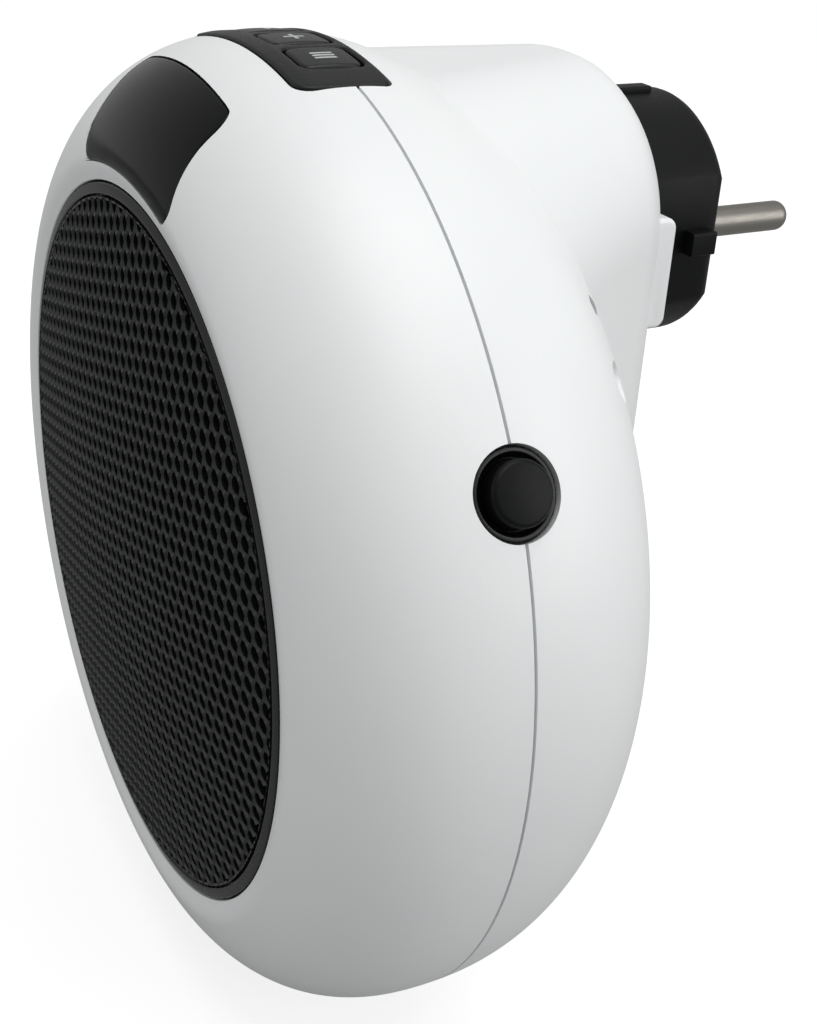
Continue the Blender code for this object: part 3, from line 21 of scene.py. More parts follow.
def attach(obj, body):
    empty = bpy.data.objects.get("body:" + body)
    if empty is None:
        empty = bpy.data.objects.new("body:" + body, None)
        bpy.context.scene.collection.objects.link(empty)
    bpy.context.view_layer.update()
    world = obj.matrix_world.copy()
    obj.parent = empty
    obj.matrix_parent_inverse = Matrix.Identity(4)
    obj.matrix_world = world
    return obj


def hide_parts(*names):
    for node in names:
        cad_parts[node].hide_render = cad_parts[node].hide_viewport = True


LOG = logging.getLogger("fan_heater")
MM = 0.001
OUTLET_CENTRE = Vector((0.0, -89.4, -45.0))
SHARP_EDGE = math.radians(32)
QUARTER = math.pi / 2
TURN = 2 * math.pi
TINY = 1e-6

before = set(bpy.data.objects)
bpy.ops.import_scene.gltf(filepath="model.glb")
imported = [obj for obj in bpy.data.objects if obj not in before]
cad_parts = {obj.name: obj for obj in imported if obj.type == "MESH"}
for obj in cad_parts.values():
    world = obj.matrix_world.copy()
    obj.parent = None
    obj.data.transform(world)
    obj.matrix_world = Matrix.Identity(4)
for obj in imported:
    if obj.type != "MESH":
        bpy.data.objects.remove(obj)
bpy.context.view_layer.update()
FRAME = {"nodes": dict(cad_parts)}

Shape = bmesh.types.BMesh
Point = tuple[float, float]
Outline = Callable[[float], list[Point]]
Level = Callable[[np.ndarray], np.ndarray]


class Operation(Enum):
    """What a Boolean step does with its other shape."""

    ADD = "UNION"
    CUT = "DIFFERENCE"


class Side(Enum):
    """The two sides of the heater, each the sign of its x."""

    LEFT = -1
    RIGHT = 1


class Key(Enum):
    """The keys in the panel, each its place counted from the middle one."""

    MINUS = -1
    PLUS = 0
    MENU = 1


# Nodes


def add_node(
    tree: bpy.types.NodeTree, kind: str, settings: dict | None = None, links: dict | None = None
) -> bpy.types.Node:
    """Adds one node with its settings and links.

    Args:
        tree: the node tree that gets it.
        kind: the node's type name.
        settings: attributes, or input values where the key is an input's name or number.
        links: output sockets or terms by the input, by name or number, that they feed.

    Returns:
        The new node.
    """
    node = tree.nodes.new(kind)
    for key, value in (settings or {}).items():
        if isinstance(key, str) and hasattr(node, key):
            setattr(node, key, value)
        else:
            node.inputs[key].default_value = value
    for key, source in (links or {}).items():
        tree.links.new(source.socket if isinstance(source, Term) else source, node.inputs[key])
    return node


@dataclass(frozen=True)
class Term:
    """A number that a node tree works out. Arithmetic on it goes into the tree."""

    tree: bpy.types.NodeTree
    socket: bpy.types.NodeSocket

    def by(self, operation: str, *others: Term | float) -> Term:
        """Works out an operation on this number.

        Args:
            operation: the operation's name in Blender.
            others: the numbers that follow this one, where the operation takes them.

        Returns:
            The result.
        """
        values = dict(enumerate((self, *others)))
        links = {slot: value for slot, value in values.items() if isinstance(value, Term)}
        settings = {slot: value for slot, value in values.items() if slot not in links}
        node = add_node(self.tree, "ShaderNodeMath", {"operation": operation} | settings, links)
        return Term(self.tree, node.outputs[0])

    def __add__(self, other: Term | float) -> Term:
        """This number and the other."""
        return self.by("ADD", other)

    def __sub__(self, other: Term | float) -> Term:
        """This number less the other."""
        return self.by("SUBTRACT", other)

    def __rsub__(self, other: float) -> Term:
        """A plain number less this one."""
        return self * -1.0 + other

    def __mul__(self, other: Term | float) -> Term:
        """This number times the other."""
        return self.by("MULTIPLY", other)

    def __truediv__(self, other: Term | float) -> Term:
        """This number over the other."""
        return self.by("DIVIDE", other)


def colours(sockets: Sequence[bpy.types.NodeSocket]) -> list[bpy.types.NodeSocket]:
    """The colour sockets among a node's sockets."""
    return [socket for socket in sockets if socket.type == "RGBA"]


# Finishes


def linear(code: str) -> tuple[float, float, float, float]:
    """Turns an sRGB hex colour to linear RGBA.

    Args:
        code: six hex digits after a #.

    Returns:
        The linear colour with an alpha of one.
    """
    values = [int(code[index : index + 2], 16) / 255 for index in (1, 3, 5)]
    return (*[v / 12.92 if v <= 0.04045 else ((v + 0.055) / 1.055) ** 2.4 for v in values], 1.0)


@dataclass(frozen=True)
class Finish:
    """One surface: what it is made of, its colour and the marks its making left.

    Sizes are in millimetres. A grain finer than the render can show is drawn as coarse as it needs to show.
    """

    name: str
    colour: str
    second_colour: str
    roughness: float
    roughness_spread: float = 0.04
    metallic: float = 0.0
    ior: float = 1.5
    specular: float = 0.5
    grain: float = 0.35
    grain_depth: float = 0.004
    mottle: float = 18.0
    stretch: tuple[float, float, float] = (1.0, 1.0, 1.0)
    least_roughness: float = 0.02
    noise_range: tuple[float, float] = (0.3, 0.7)
    mottle_noise: tuple[float, float] = (3.0, 0.55)
    grain_noise: tuple[float, float] = (2.0, 0.6)

    def material(self) -> bpy.types.Material:
        """Builds the material once.

        Returns:
            The material, which is the same one each time.
        """
        found = bpy.data.materials.get(self.name)
        if found:
            return found
        made = bpy.data.materials.new(self.name)
        made.use_nodes = True
        tree = made.node_tree
        shader = tree.nodes["Principled BSDF"]
        shader.inputs["Metallic"].default_value = self.metallic
        shader.inputs["IOR"].default_value = self.ior
        shader.inputs["Specular IOR Level"].default_value = self.specular
        place = add_node(tree, "ShaderNodeTexCoord").outputs["Object"]
        turned = add_node(tree, "ShaderNodeMapping", {"Scale": self.stretch}, {"Vector": place}).outputs[0]
        noises = []
        for size, (detail, rough) in ((self.mottle, self.mottle_noise), (self.grain, self.grain_noise)):
            settings = {"Scale": 1 / (size * MM), "Detail": detail, "Roughness": rough}
            noises.append(add_node(tree, "ShaderNodeTexNoise", settings, {"Vector": turned}).outputs["Fac"])
        patches, grain = noises
        colour = add_node(tree, "ShaderNodeMix", {"data_type": "RGBA"}, {"Factor": patches})
        for socket, code in zip(colours(colour.inputs), (self.colour, self.second_colour)):
            socket.default_value = linear(code)
        self.decorate(tree, shader, place, colours(colour.outputs)[0])
        spread = {
            "From Min": self.noise_range[0],
            "From Max": self.noise_range[1],
            "To Min": max(self.least_roughness, self.roughness - self.roughness_spread),
            "To Max": self.roughness + self.roughness_spread,
        }
        rough = add_node(tree, "ShaderNodeMapRange", spread, {"Value": grain}).outputs["Result"]
        tree.links.new(rough, shader.inputs["Roughness"])
        depth = {"Strength": 1.0, "Distance": self.grain_depth * MM}
        bump = add_node(tree, "ShaderNodeBump", depth, {"Height": grain}).outputs["Normal"]
        tree.links.new(bump, shader.inputs["Normal"])
        made.diffuse_color = linear(self.colour)
        return made

    def decorate(
        self,
        tree: bpy.types.NodeTree,
        shader: bpy.types.Node,
        place: bpy.types.NodeSocket,
        colour: bpy.types.NodeSocket,
    ) -> None:
        """Feeds the colour to the shader. A finish with a pattern of its own adds it here.

        Args:
            tree: the material's node tree.
            shader: its shader.
            place: the object coordinates.
            colour: the mottled colour.
        """
        tree.links.new(colour, shader.inputs["Base Color"])


# ABS from a polished tool that was lightly blasted: an even satin with a soft, wide highlight
WHITE_ABS = Finish(
    "abs_moulded_white_satin", "#eceeee", "#e8eaeb", 0.40, 0.03, grain=0.30, grain_depth=0.0022
)
# ABS straight from a polished tool: near black with a crisp highlight
BLACK_GLOSS = Finish(
    "abs_moulded_black_gloss", "#08090a", "#0c0d0e", 0.26, 0.04, specular=0.3, grain=0.5, grain_depth=0.001
)
# Polypropylene honeycomb: black with a dull shine that gathers on the cells' corners
BLACK_MESH = Finish(
    "polypropylene_moulded_black_honeycomb", "#131416", "#191b1d", 0.30, 0.05, grain=0.4, grain_depth=0.002
)
# ABS with fine spark erosion from the tool: charcoal, because the texture scatters the light
BLACK_TEXTURED = Finish(
    "abs_spark_eroded_black", "#0e0f10", "#131415", 0.42, 0.06, specular=0.3, grain=0.28, grain_depth=0.006
)
# The same plastic on the keys, worn a little smoother by fingers
BLACK_KEY = Finish(
    "abs_fine_texture_black_key", "#0c0d0e", "#121314", 0.36, 0.08, specular=0.35, grain=0.24
)
# The push button's cap: a deeper black that takes little light
CAP_BLACK = Finish("abs_matt_black_cap", "#060708", "#0a0b0c", 0.40, 0.05, specular=0.15, grain=0.28)
# Polyamide of the plug: the dullest black here, with a warm grey bloom
PLUG_POLYAMIDE = Finish(
    "polyamide_moulded_black_plug", "#060708", "#0b0c0d", 0.46, 0.06, specular=0.15, grain_depth=0.006
)
# Pale pad printing on the keys: flat and a little uneven
PALE_PRINT = Finish(
    "pad_print_pale_grey", "#b9bbbc", "#a9abad", 0.5, 0.05, grain=0.2, grain_depth=0.002, mottle=1.5
)
# Nickel on brass pins, drawn lengthwise, so the highlight breaks into fine lines along them
NICKEL = Finish(
    "nickel_plated_brass_pin",
    "#96938d",
    "#84817b",
    0.40,
    0.08,
    metallic=1.0,
    grain=0.12,
    grain_depth=0.002,
    mottle=6.0,
    stretch=(1.0, 0.06, 1.0),
)
# Zinc-plated steel of the screws and the motor can: bright grey with faint clouds
STEEL = Finish(
    "steel_zinc_plated", "#a9abad", "#8f9193", 0.33, 0.08, 1.0, grain=0.2, grain_depth=0.003, mottle=4.0
)
# Folded aluminium strip of the fins: pale, with rolling lines along the strip
ALUMINIUM = Finish(
    "aluminium_rolled_strip",
    "#c3c6c8",
    "#a2a5a8",
    0.38,
    0.1,
    metallic=1.0,
    grain=0.3,
    mottle=5.0,
    stretch=(1.0, 0.2, 1.0),
)
# Heating bars: a ceramic with a dull, sandy skin
CERAMIC = Finish(
    "ceramic_heater_bar", "#6d655c", "#544c45", 0.72, 0.06, grain=0.4, grain_depth=0.02, mottle=3.0
)
# Glass-filled frame of the element: brown with pale flow marks
BROWN_FRAME = Finish(
    "glass_filled_polymer_brown", "#3a281e", "#4a3427", 0.55, 0.08, grain=0.5, grain_depth=0.01, mottle=9.0
)
# Polypropylene duct and impeller: an even charcoal
GREY_DUCT = Finish(
    "polypropylene_moulded_charcoal",
    "#2b2c2e",
    "#333538",
    0.5,
    0.06,
    grain=0.5,
    grain_depth=0.006,
    mottle=14.0,
)
# Brass terminals: yellow, with brighter and darker patches from the press
BRASS = Finish(
    "brass_stamped", "#c79f5a", "#a67f3f", 0.32, 0.08, 1.0, grain=0.25, grain_depth=0.003, mottle=3.0
)
# Moulded polyester cases of the relay and the capacitor: smooth and evenly coloured
RELAY_CASE = Finish("pbt_relay_case_blue", "#1f4f8f", "#1b467f", 0.38, 0.05, grain=0.4)
CAPACITOR_CASE = Finish("pbt_capacitor_case_yellow", "#c9992a", "#b98a22", 0.4, 0.05, grain=0.4)
# Silicone insulation of the leads: soft and dull
RED_LEAD = Finish(
    "silicone_insulation_red", "#9c2018", "#8a1a14", 0.5, 0.06, grain=0.4, grain_depth=0.006, mottle=4.0
)
BLUE_LEAD = Finish(
    "silicone_insulation_blue", "#1f3f8a", "#1a3678", 0.5, 0.06, grain=0.4, grain_depth=0.006, mottle=4.0
)
# Display block: a dark resin face with a clean shine
DISPLAY_RESIN = Finish(
    "epoxy_display_face", "#1d1f20", "#26282a", 0.3, 0.05, grain=0.5, grain_depth=0.002, mottle=6.0
)


@dataclass(frozen=True)
class SmokedLens(Finish):
    """Smoked polycarbonate with a printed mask behind it, and a clear window in the mask."""

    window_centre: Point = (-1.6, 64.4)
    window_half: Point = (12.5, 4.6)
    window_edge: float = 0.5
    window_colour: str = "#070808"

    def decorate(
        self,
        tree: bpy.types.NodeTree,
        shader: bpy.types.Node,
        place: bpy.types.NodeSocket,
        colour: bpy.types.NodeSocket,
    ) -> None:
        """Darkens the lens inside the mask's window, by a soft-edged box in the lens's own x and height.

        Args:
            tree: the material's node tree.
            shader: its shader.
            place: the object coordinates.
            colour: the mottled colour.
        """
        parts = add_node(tree, "ShaderNodeSeparateXYZ", links={"Vector": place}).outputs
        centres = (self.window_centre[0], self.window_centre[1] + OUTLET_CENTRE.z)
        edges = []
        for axis, centre, half in zip("XZ", centres, self.window_half):
            away = (Term(tree, parts[axis]) - centre * MM).by("ABSOLUTE")
            fade = {
                "From Min": (half - self.window_edge) * MM,
                "From Max": half * MM,
                "To Min": 1.0,
                "To Max": 0.0,
            }
            edges.append(Term(tree, add_node(tree, "ShaderNodeMapRange", fade, {"Value": away}).outputs[0]))
        dark = add_node(tree, "ShaderNodeMix", {"data_type": "RGBA"}, {"Factor": edges[0] * edges[1]})
        outside, inside = colours(dark.inputs)
        inside.default_value = linear(self.window_colour)
        tree.links.new(colour, outside)
        tree.links.new(colours(dark.outputs)[0], shader.inputs["Base Color"])


# Smoked polycarbonate, polished: a mirror-like skin over a deep charcoal
LENS = SmokedLens(
    "polycarbonate_smoked_window",
    "#050606",
    "#080909",
    0.15,
    0.02,
    specular=0.13,
    grain=1.2,
    grain_depth=0.0004,
)


@dataclass(frozen=True)
class CircuitBoard(Finish):
    """Glass-epoxy laminate with copper tracks under green lacquer."""

    track: str = "#2f7a45"
    track_pitch: float = 2.0
    track_width: float = 0.12

    def decorate(
        self,
        tree: bpy.types.NodeTree,
        shader: bpy.types.Node,
        place: bpy.types.NodeSocket,
        colour: bpy.types.NodeSocket,
    ) -> None:
        """Lays paler bands over the board where tracks run under the lacquer.

        Args:
            tree: the material's node tree.
            shader: its shader.
            place: the object coordinates.
            colour: the mottled colour, which the bands stand in for.
        """
        bands = {
            "Scale": 1 / (self.track_pitch * MM),
            "Mortar Size": self.track_width,
            "Color1": linear(self.second_colour),
            "Color2": linear(self.colour),
            "Mortar": linear(self.track),
        }
        pattern = add_node(tree, "ShaderNodeTexBrick", bands, {"Vector": place}).outputs["Color"]
        tree.links.new(pattern, shader.inputs["Base Color"])


# Circuit boards: green lacquer with paler tracks under it
BOARD = CircuitBoard(
    "glass_epoxy_board_green", "#14512b", "#17592f", 0.36, 0.05, grain=0.4, grain_depth=0.003
)


@dataclass(frozen=True)
class BackdropPaper(Finish):
    """Backdrop paper lit from behind, so that it shows white and throws little light up at the object."""

    glow: float = 0.75

    def decorate(
        self,
        tree: bpy.types.NodeTree,
        shader: bpy.types.Node,
        place: bpy.types.NodeSocket,
        colour: bpy.types.NodeSocket,
    ) -> None:
        """Adds the glow that only the picture sees.

        Args:
            tree: the material's node tree.
            shader: its shader.
            place: the object coordinates.
            colour: the mottled colour.
        """
        super().decorate(tree, shader, place, colour)
        seen = Term(tree, add_node(tree, "ShaderNodeLightPath").outputs["Is Camera Ray"])
        shader.inputs["Emission Color"].default_value = (1.0, 1.0, 1.0, 1.0)
        tree.links.new((seen * self.glow).socket, shader.inputs["Emission Strength"])


# Matt photographic paper under and behind the object
PAPER = BackdropPaper(
    "studio_paper_white", "#a6a6a6", "#a2a2a2", 0.9, 0.03, grain=3.0, grain_depth=0.01, mottle=120.0
)


# Meshes


def as_mesh(name: str, shape: Shape) -> bpy.types.Mesh:
    """Turns a bmesh into a mesh, and frees the bmesh.

    Args:
        name: the mesh's name.
        shape: the bmesh. It is used up.

    Returns:
        The mesh.
    """
    mesh = bpy.data.meshes.new(name)
    shape.to_mesh(mesh)
    shape.free()
    return mesh


def as_shape(mesh: bpy.types.Mesh) -> Shape:
    """Turns a mesh into a bmesh, and removes the mesh.

    Args:
        mesh: the mesh. It is used up.

    Returns:
        The bmesh.
    """
    shape = bmesh.new()
    shape.from_mesh(mesh)
    bpy.data.meshes.remove(mesh)
    return shape


def new_object(name: str, mesh: bpy.types.Mesh) -> bpy.types.Object:
    """Puts a mesh in the scene as an object at the origin.

    Args:
        name: the object's name.
        mesh: its mesh.

    Returns:
        The object.
    """
    made = bpy.data.objects.new(name, mesh)
    bpy.context.scene.collection.objects.link(made)
    return made


def evaluated(target: bpy.types.Object, name: str) -> bpy.types.Mesh:
    """Takes the mesh that an object's modifiers make, and removes the object.

    Args:
        target: the object.
        name: the new mesh's name.

    Returns:
        The mesh, with nothing of the modifiers left.
    """
    graph = bpy.context.evaluated_depsgraph_get()
    graph.update()
    mesh = bpy.data.meshes.new_from_object(target.evaluated_get(graph), depsgraph=graph)
    mesh.name = name
    target.modifiers.clear()
    old = target.data
    bpy.data.objects.remove(target, do_unlink=True)
    bpy.data.meshes.remove(old)
    return mesh


def combined(base: Shape, steps: Sequence[tuple[Operation, Shape]], solver: str = "MANIFOLD") -> Shape:
    """Runs Boolean steps on a closed shape.

    Args:
        base: the shape that changes. It is used up.
        steps: pairs of an operation and the other shape, which is used up too.
        solver: Blender's Boolean solver.

    Returns:
        The resulting shape.
    """
    target = new_object("boolean_base", as_mesh("boolean_base", base))
    others = []
    for number, (operation, other) in enumerate(steps):
        name = f"boolean_tool_{number}"
        tool = new_object(name, as_mesh(name, other))
        tool.hide_render = True
        others.append(tool)
        step = target.modifiers.new(name, "BOOLEAN")
        step.operation = operation.value
        step.object = tool
        step.solver = solver
    result = as_shape(evaluated(target, "boolean_result"))
    for tool in others:
        mesh = tool.data
        bpy.data.objects.remove(tool, do_unlink=True)
        bpy.data.meshes.remove(mesh)
    return result


def outward(shape: Shape) -> Shape:
    """Turns a closed shape's faces to point out, and returns the shape.

    Args:
        shape: the closed shape.

    Returns:
        The same shape.
    """
    bmesh.ops.recalc_face_normals(shape, faces=shape.faces[:])
    if shape.calc_volume(signed=True) < 0:
        bmesh.ops.reverse_faces(shape, faces=shape.faces[:])
    return shape


def moved(shape: Shape, matrix: Matrix) -> Shape:
    """Moves a shape by a matrix, and returns it."""
    bmesh.ops.transform(shape, matrix=matrix, verts=shape.verts)
    return shape


def shifted(shape: Shape, x: float, height: float) -> Shape:
    """Moves a shape sideways and up, and returns it."""
    return moved(shape, Matrix.Translation((x, 0, height)))


def merged(shapes: Sequence[Shape]) -> Shape:
    """Puts several shapes in one bmesh, as separate islands.

    Args:
        shapes: the shapes. They are used up.

    Returns:
        The one shape.
    """
    whole = bmesh.new()
    for shape in shapes:
        mesh = as_mesh("merged", shape)
        whole.from_mesh(mesh)
        bpy.data.meshes.remove(mesh)
    return whole


def banded(shape: Shape, rings: Sequence[Sequence[bmesh.types.BMVert]]) -> None:
    """Joins each ring of vertices to the next by a band of faces.

    Args:
        shape: the shape that holds the rings.
        rings: rings with as many vertices each. A pole is one vertex, repeated.
    """
    for first, second in zip(rings, rings[1:]):
        for index in range(len(first)):
            after = (index + 1) % len(first)
            corners = list(dict.fromkeys((first[index], first[after], second[after], second[index])))
            if len(corners) > 2:
                shape.faces.new(corners)


def lofted(rings: Sequence[Sequence[Sequence[float]]]) -> Shape:
    """Joins rings of points into a closed shape with flat ends.

    Args:
        rings: rings of (x, depth, height) points, with as many points each.

    Returns:
        The closed shape.
    """
    shape = bmesh.new()
    made = [[shape.verts.new(point) for point in ring] for ring in rings]
    shape.faces.new(made[0])
    shape.faces.new(made[-1])
    banded(shape, made)
    return outward(shape)


def prism(outline: Sequence[Point], low: float, high: float, upright: bool = False) -> Shape:
    """Runs a flat outline along the depth axis, or upward.

    Args:
        outline: (x, height) points, or (x, depth) points for an upright prism.
        low: where it starts.
        high: where it ends.
        upright: whether it runs upward.

    Returns:
        The closed prism.
    """
    return lofted(
        [[(a, b, level) if upright else (a, level, b) for a, b in outline] for level in (low, high)]
    )


def revolved(profile: Sequence[Point], steps: int) -> Shape:
    """Turns a closed profile about the depth axis.

    Args:
        profile: (radius, depth) points in order. A radius of zero is a pole.
        steps: the number of segments round the axis.

    Returns:
        The closed shape.
    """
    shape = bmesh.new()
    angles = [TURN * step / steps for step in range(steps)]
    rings = []
    for radius, depth in profile:
        if radius == 0:
            rings.append([shape.verts.new((0, depth, 0))] * steps)
        else:
            circle = [(radius * math.sin(angle), depth, radius * math.cos(angle)) for angle in angles]
            rings.append([shape.verts.new(point) for point in circle])
    banded(shape, rings + rings[:1])
    return outward(shape)


def cylinder(radius: float, low: float, high: float, steps: int) -> Shape:
    """A cylinder about the depth axis, from one depth to another."""
    return revolved([(0, low), (radius, low), (radius, high), (0, high)], steps)


def quarter(steps: int) -> list[float]:
    """The angles of a quarter turn cut into equal steps, from zero."""
    return [QUARTER * step / steps for step in range(steps + 1)]


def arc(radius: float, start: float, end: float, steps: int) -> list[Point]:
    """Points on a circle.

    Args:
        radius: the circle's radius.
        start: the first point's angle, counted from up toward +X.
        end: the last point's angle.
        steps: the number of segments.

    Returns:
        The (x, height) points.
    """
    angles = [start + (end - start) * step / steps for step in range(steps + 1)]
    return [(radius * math.sin(angle), radius * math.cos(angle)) for angle in angles]


def fillet(profile: Sequence[Point], radii: dict[int, float], steps: int = 5) -> list[Point]:
    """Rounds numbered corners of a closed profile.

    Args:
        profile: the corner points in order.
        radii: the radius of each rounded corner, by its number in the profile.
        steps: the number of segments in each rounding.

    Returns:
        The profile with its corners rounded.
    """
    points = []
    for index, point in enumerate(profile):
        radius = radii.get(index, 0)
        if not radius:
            points.append(point)
            continue
        corner = Vector(point)
        before = (Vector(profile[index - 1]) - corner).normalized()
        after = (Vector(profile[(index + 1) % len(profile)]) - corner).normalized()
        half = before.angle(after) / 2
        centre = corner + (before + after).normalized() * radius / math.sin(half)
        reach = radius / math.tan(half)
        start, end = corner + before * reach - centre, corner + after * reach - centre
        first = math.atan2(start.y, start.x)
        sweep = (math.atan2(end.y, end.x) - first + math.pi) % TURN - math.pi
        for step in range(steps + 1):
            angle = first + sweep * step / steps
            points.append((centre.x + radius * math.cos(angle), centre.y + radius * math.sin(angle)))
    return points


def box(half_x: float, low: float, high: float, centre: float = 0.0) -> list[Point]:
    """The corners of a box: lower left, lower right, upper right and upper left."""
    left, right = centre - half_x, centre + half_x
    return [(left, low), (right, low), (right, high), (left, high)]


def rounded_box(half_x: float, low: float, high: float, corners: Point, centre: float = 0.0) -> Outline:
    """Makes the outline function of a box with rounded corners.

    Args:
        half_x: half its width.
        low: its lower edge.
        high: its upper edge.
        corners: the radii of the lower and of the upper corners.
        centre: the x of its middle.

    Returns:
        A function that gives the outline grown by a length.
    """
    least_radius, steps = 0.05, 6

    def outline(grow: float) -> list[Point]:
        """The outline grown by a length.

        Args:
            grow: the length.

        Returns:
            Its points.
        """
        first, second = (max(least_radius, radius + grow) for radius in corners)
        points = box(half_x + grow, low - grow, high + grow, centre)
        return fillet(points, {0: first, 1: first, 2: second, 3: second}, steps)

    return outline


def placed(
    name: str, shape: Shape | bpy.types.Mesh, finish: Finish, normals: Level | None = None
) -> bpy.types.Object:
    """Finishes a piece: its mesh goes to metres in the CAD's frame, and its object stays at the origin.

    Args:
        name: the piece's name.
        shape: the piece in millimetres about the outlet.
        finish: its finish.
        normals: gives the true normals of the skin at points in millimetres, for faces that lie on it.

    Returns:
        The piece.
    """
    mesh = as_mesh(name, shape) if isinstance(shape, Shape) else shape
    mesh.materials.clear()
    mesh.materials.append(finish.material())
    mesh.shade_smooth()
    mesh.set_sharp_from_angle(angle=SHARP_EDGE)
    if normals:
        lock_normals(mesh, normals)
    mesh.transform(Matrix.Scale(MM, 4) @ Matrix.Translation(OUTLET_CENTRE))
    return new_object(name, mesh)


def lock_normals(mesh: bpy.types.Mesh, normals: Level, closeness: float = 0.93) -> None:
    """Gives the loops that lie on the skin its true normals, so that cuts in it leave no shading marks.

    Args:
        mesh: the mesh in millimetres.
        normals: gives unit normals, or zeros away from the skin, for an array of points.
        closeness: the least cosine between a face's normal and the skin's, for a face that lies on it.
    """
    count, faces = len(mesh.loops), len(mesh.polygons)
    corner, total = np.empty(count, np.int32), np.empty(faces, np.int32)
    points, flat, own = np.empty(len(mesh.vertices) * 3), np.empty(faces * 3), np.empty(count * 3)
    mesh.loops.foreach_get("vertex_index", corner)
    mesh.polygons.foreach_get("loop_total", total)
    mesh.vertices.foreach_get("co", points)
    mesh.polygons.foreach_get("normal", flat)
    mesh.corner_normals.foreach_get("vector", own)
    true = normals(points.reshape(-1, 3))[corner]
    face = np.repeat(flat.reshape(-1, 3), total, axis=0)
    on_skin = (true * face).sum(1) > closeness
    mesh.normals_split_custom_set(np.where(on_skin[:, None], true, own.reshape(-1, 3)).tolist())


# Skins


@dataclass(frozen=True)
class Drum:
    """The drum's skin: a shape of revolution, fullest at the parting line."""

    radius: float = 74.2
    parting: float = 24.6
    front_radius: float = 55.2
    front_depth: float = -0.9
    rear_depth: float = 59.9
    front_across: float = 1.6
    front_along: float = 2.5
    rear_across: float = 3.9
    rear_along: float = 2.1

    def skin_radius(self, depth: float) -> float:
        """The skin's radius at a depth.

        Args:
            depth: the depth, in front of the parting line or behind it.

        Returns:
            The radius.
        """
        if depth <= self.parting:
            along = (self.parting - depth) / (self.parting - self.front_depth)
            across = max(0.0, 1 - along**self.front_along) ** (1 / self.front_across)
            return self.front_radius + (self.radius - self.front_radius) * across
        along = (depth - self.parting) / (self.rear_depth - self.parting)
        return self.radius * max(0.0, 1 - along**self.rear_along) ** (1 / self.rear_across)

    def front_skin_depth(self, radius: float) -> float:
        """The front skin's depth at a radius.

        Args:
            radius: the radius.

        Returns:
            The depth.
        """
        across = max(0.0, (radius - self.front_radius) / (self.radius - self.front_radius))
        along = max(0.0, 1 - across**self.front_across) ** (1 / self.front_along)
        return self.parting - (self.parting - self.front_depth) * along

    def rear_skin_depth(self, radius: float) -> float:
        """The rear skin's depth at a radius."""
        along = max(0.0, 1 - (radius / self.radius) ** self.rear_across) ** (1 / self.rear_along)
        return self.parting + (self.rear_depth - self.parting) * along

    def front_points(self, inset: float, steps: int) -> list[Point]:
        """The front skin's profile from the parting line to the outlet.

        Args:
            inset: how far the profile is drawn in.
            steps: the number of segments.

        Returns:
            The (radius, depth) points.
        """
        across = self.radius - inset - self.front_radius
        along = self.parting - self.front_depth - inset
        points = []
        for angle in quarter(steps):
            radius = self.front_radius + across * max(0.0, math.cos(angle)) ** (2 / self.front_across)
            points.append((radius, self.parting - along * math.sin(angle) ** (2 / self.front_along)))
        return points

    def level(self, p: np.ndarray) -> np.ndarray:
        """About the distance of points from the whole drum's skin, negative inside.

        Args:
            p: the points.

        Returns:
            One value for each point.
        """
        r = np.hypot(p[:, 0], p[:, 2])
        y = p[:, 1]
        front_width, front_length = self.radius - self.front_radius, self.parting - self.front_depth
        rear_length = self.rear_depth - self.parting
        near_front_pole = 0.9999
        u = np.clip(r / self.radius, TINY, None)
        v = np.clip((y - self.parting) / rear_length, 0, None)
        rear = u**self.rear_across + v**self.rear_along - 1
        rear_slope = np.hypot(
            self.rear_across * u ** (self.rear_across - 1) / self.radius,
            self.rear_along * v ** (self.rear_along - 1) / rear_length,
        )
        s = np.clip((r - self.front_radius) / front_width, TINY, None)
        t = np.clip((self.parting - y) / front_length, 0, near_front_pole)
        front = s**self.front_across + t**self.front_along - 1
        front_slope = np.hypot(
            self.front_across * s ** (self.front_across - 1) / front_width,
            self.front_along * t ** (self.front_along - 1) / front_length,
        )
        return np.where(
            y > self.parting, rear / np.maximum(rear_slope, TINY), front / np.maximum(front_slope, TINY)
        )


DRUM_MIDDLE = Vector((0.0, Drum.parting, 0.0))


def soft_maximum(first: np.ndarray, second: np.ndarray, width: np.ndarray | float) -> np.ndarray:
    """The greater of two values, with a soft turn where they cross.

    Args:
        first: one value.
        second: the other value.
        width: how near each other they are where they begin to blend.

    Returns:
        The blended value.
    """
    overlap = np.clip(width - np.abs(first - second), 0, None) / width
    return np.maximum(first, second) + overlap**2 * width / 4


def gradient(level: Level, p: np.ndarray, step: float = 0.02) -> np.ndarray:
    """The gradient of a level function, by central differences.

    Args:
        level: the level function.
        p: the points.
        step: the length of the differences.

    Returns:
        One vector for each point.
    """
    slopes = []
    for axis in range(3):
        shift = np.zeros(3)
        shift[axis] = step
        slopes.append((level(p + shift) - level(p - shift)) / (2 * step))
    return np.stack(slopes, 1)


def unit(vectors: np.ndarray) -> np.ndarray:
    """The vectors at a length of one."""
    return vectors / np.maximum(np.linalg.norm(vectors, axis=1, keepdims=True), 1e-9)


def skin_normals(level: Level, reach: float = 0.05) -> Level:
    """Makes a function that gives a skin's normals.

    Args:
        level: the skin's level function.
        reach: how far from the skin a point may lie.

    Returns:
        A function that gives unit normals near the skin, and zeros elsewhere.
    """

    def normals(p: np.ndarray) -> np.ndarray:
        """The normals at points."""
        return np.where((np.abs(level(p)) < reach)[:, None], unit(gradient(level, p)), 0.0)

    return normals


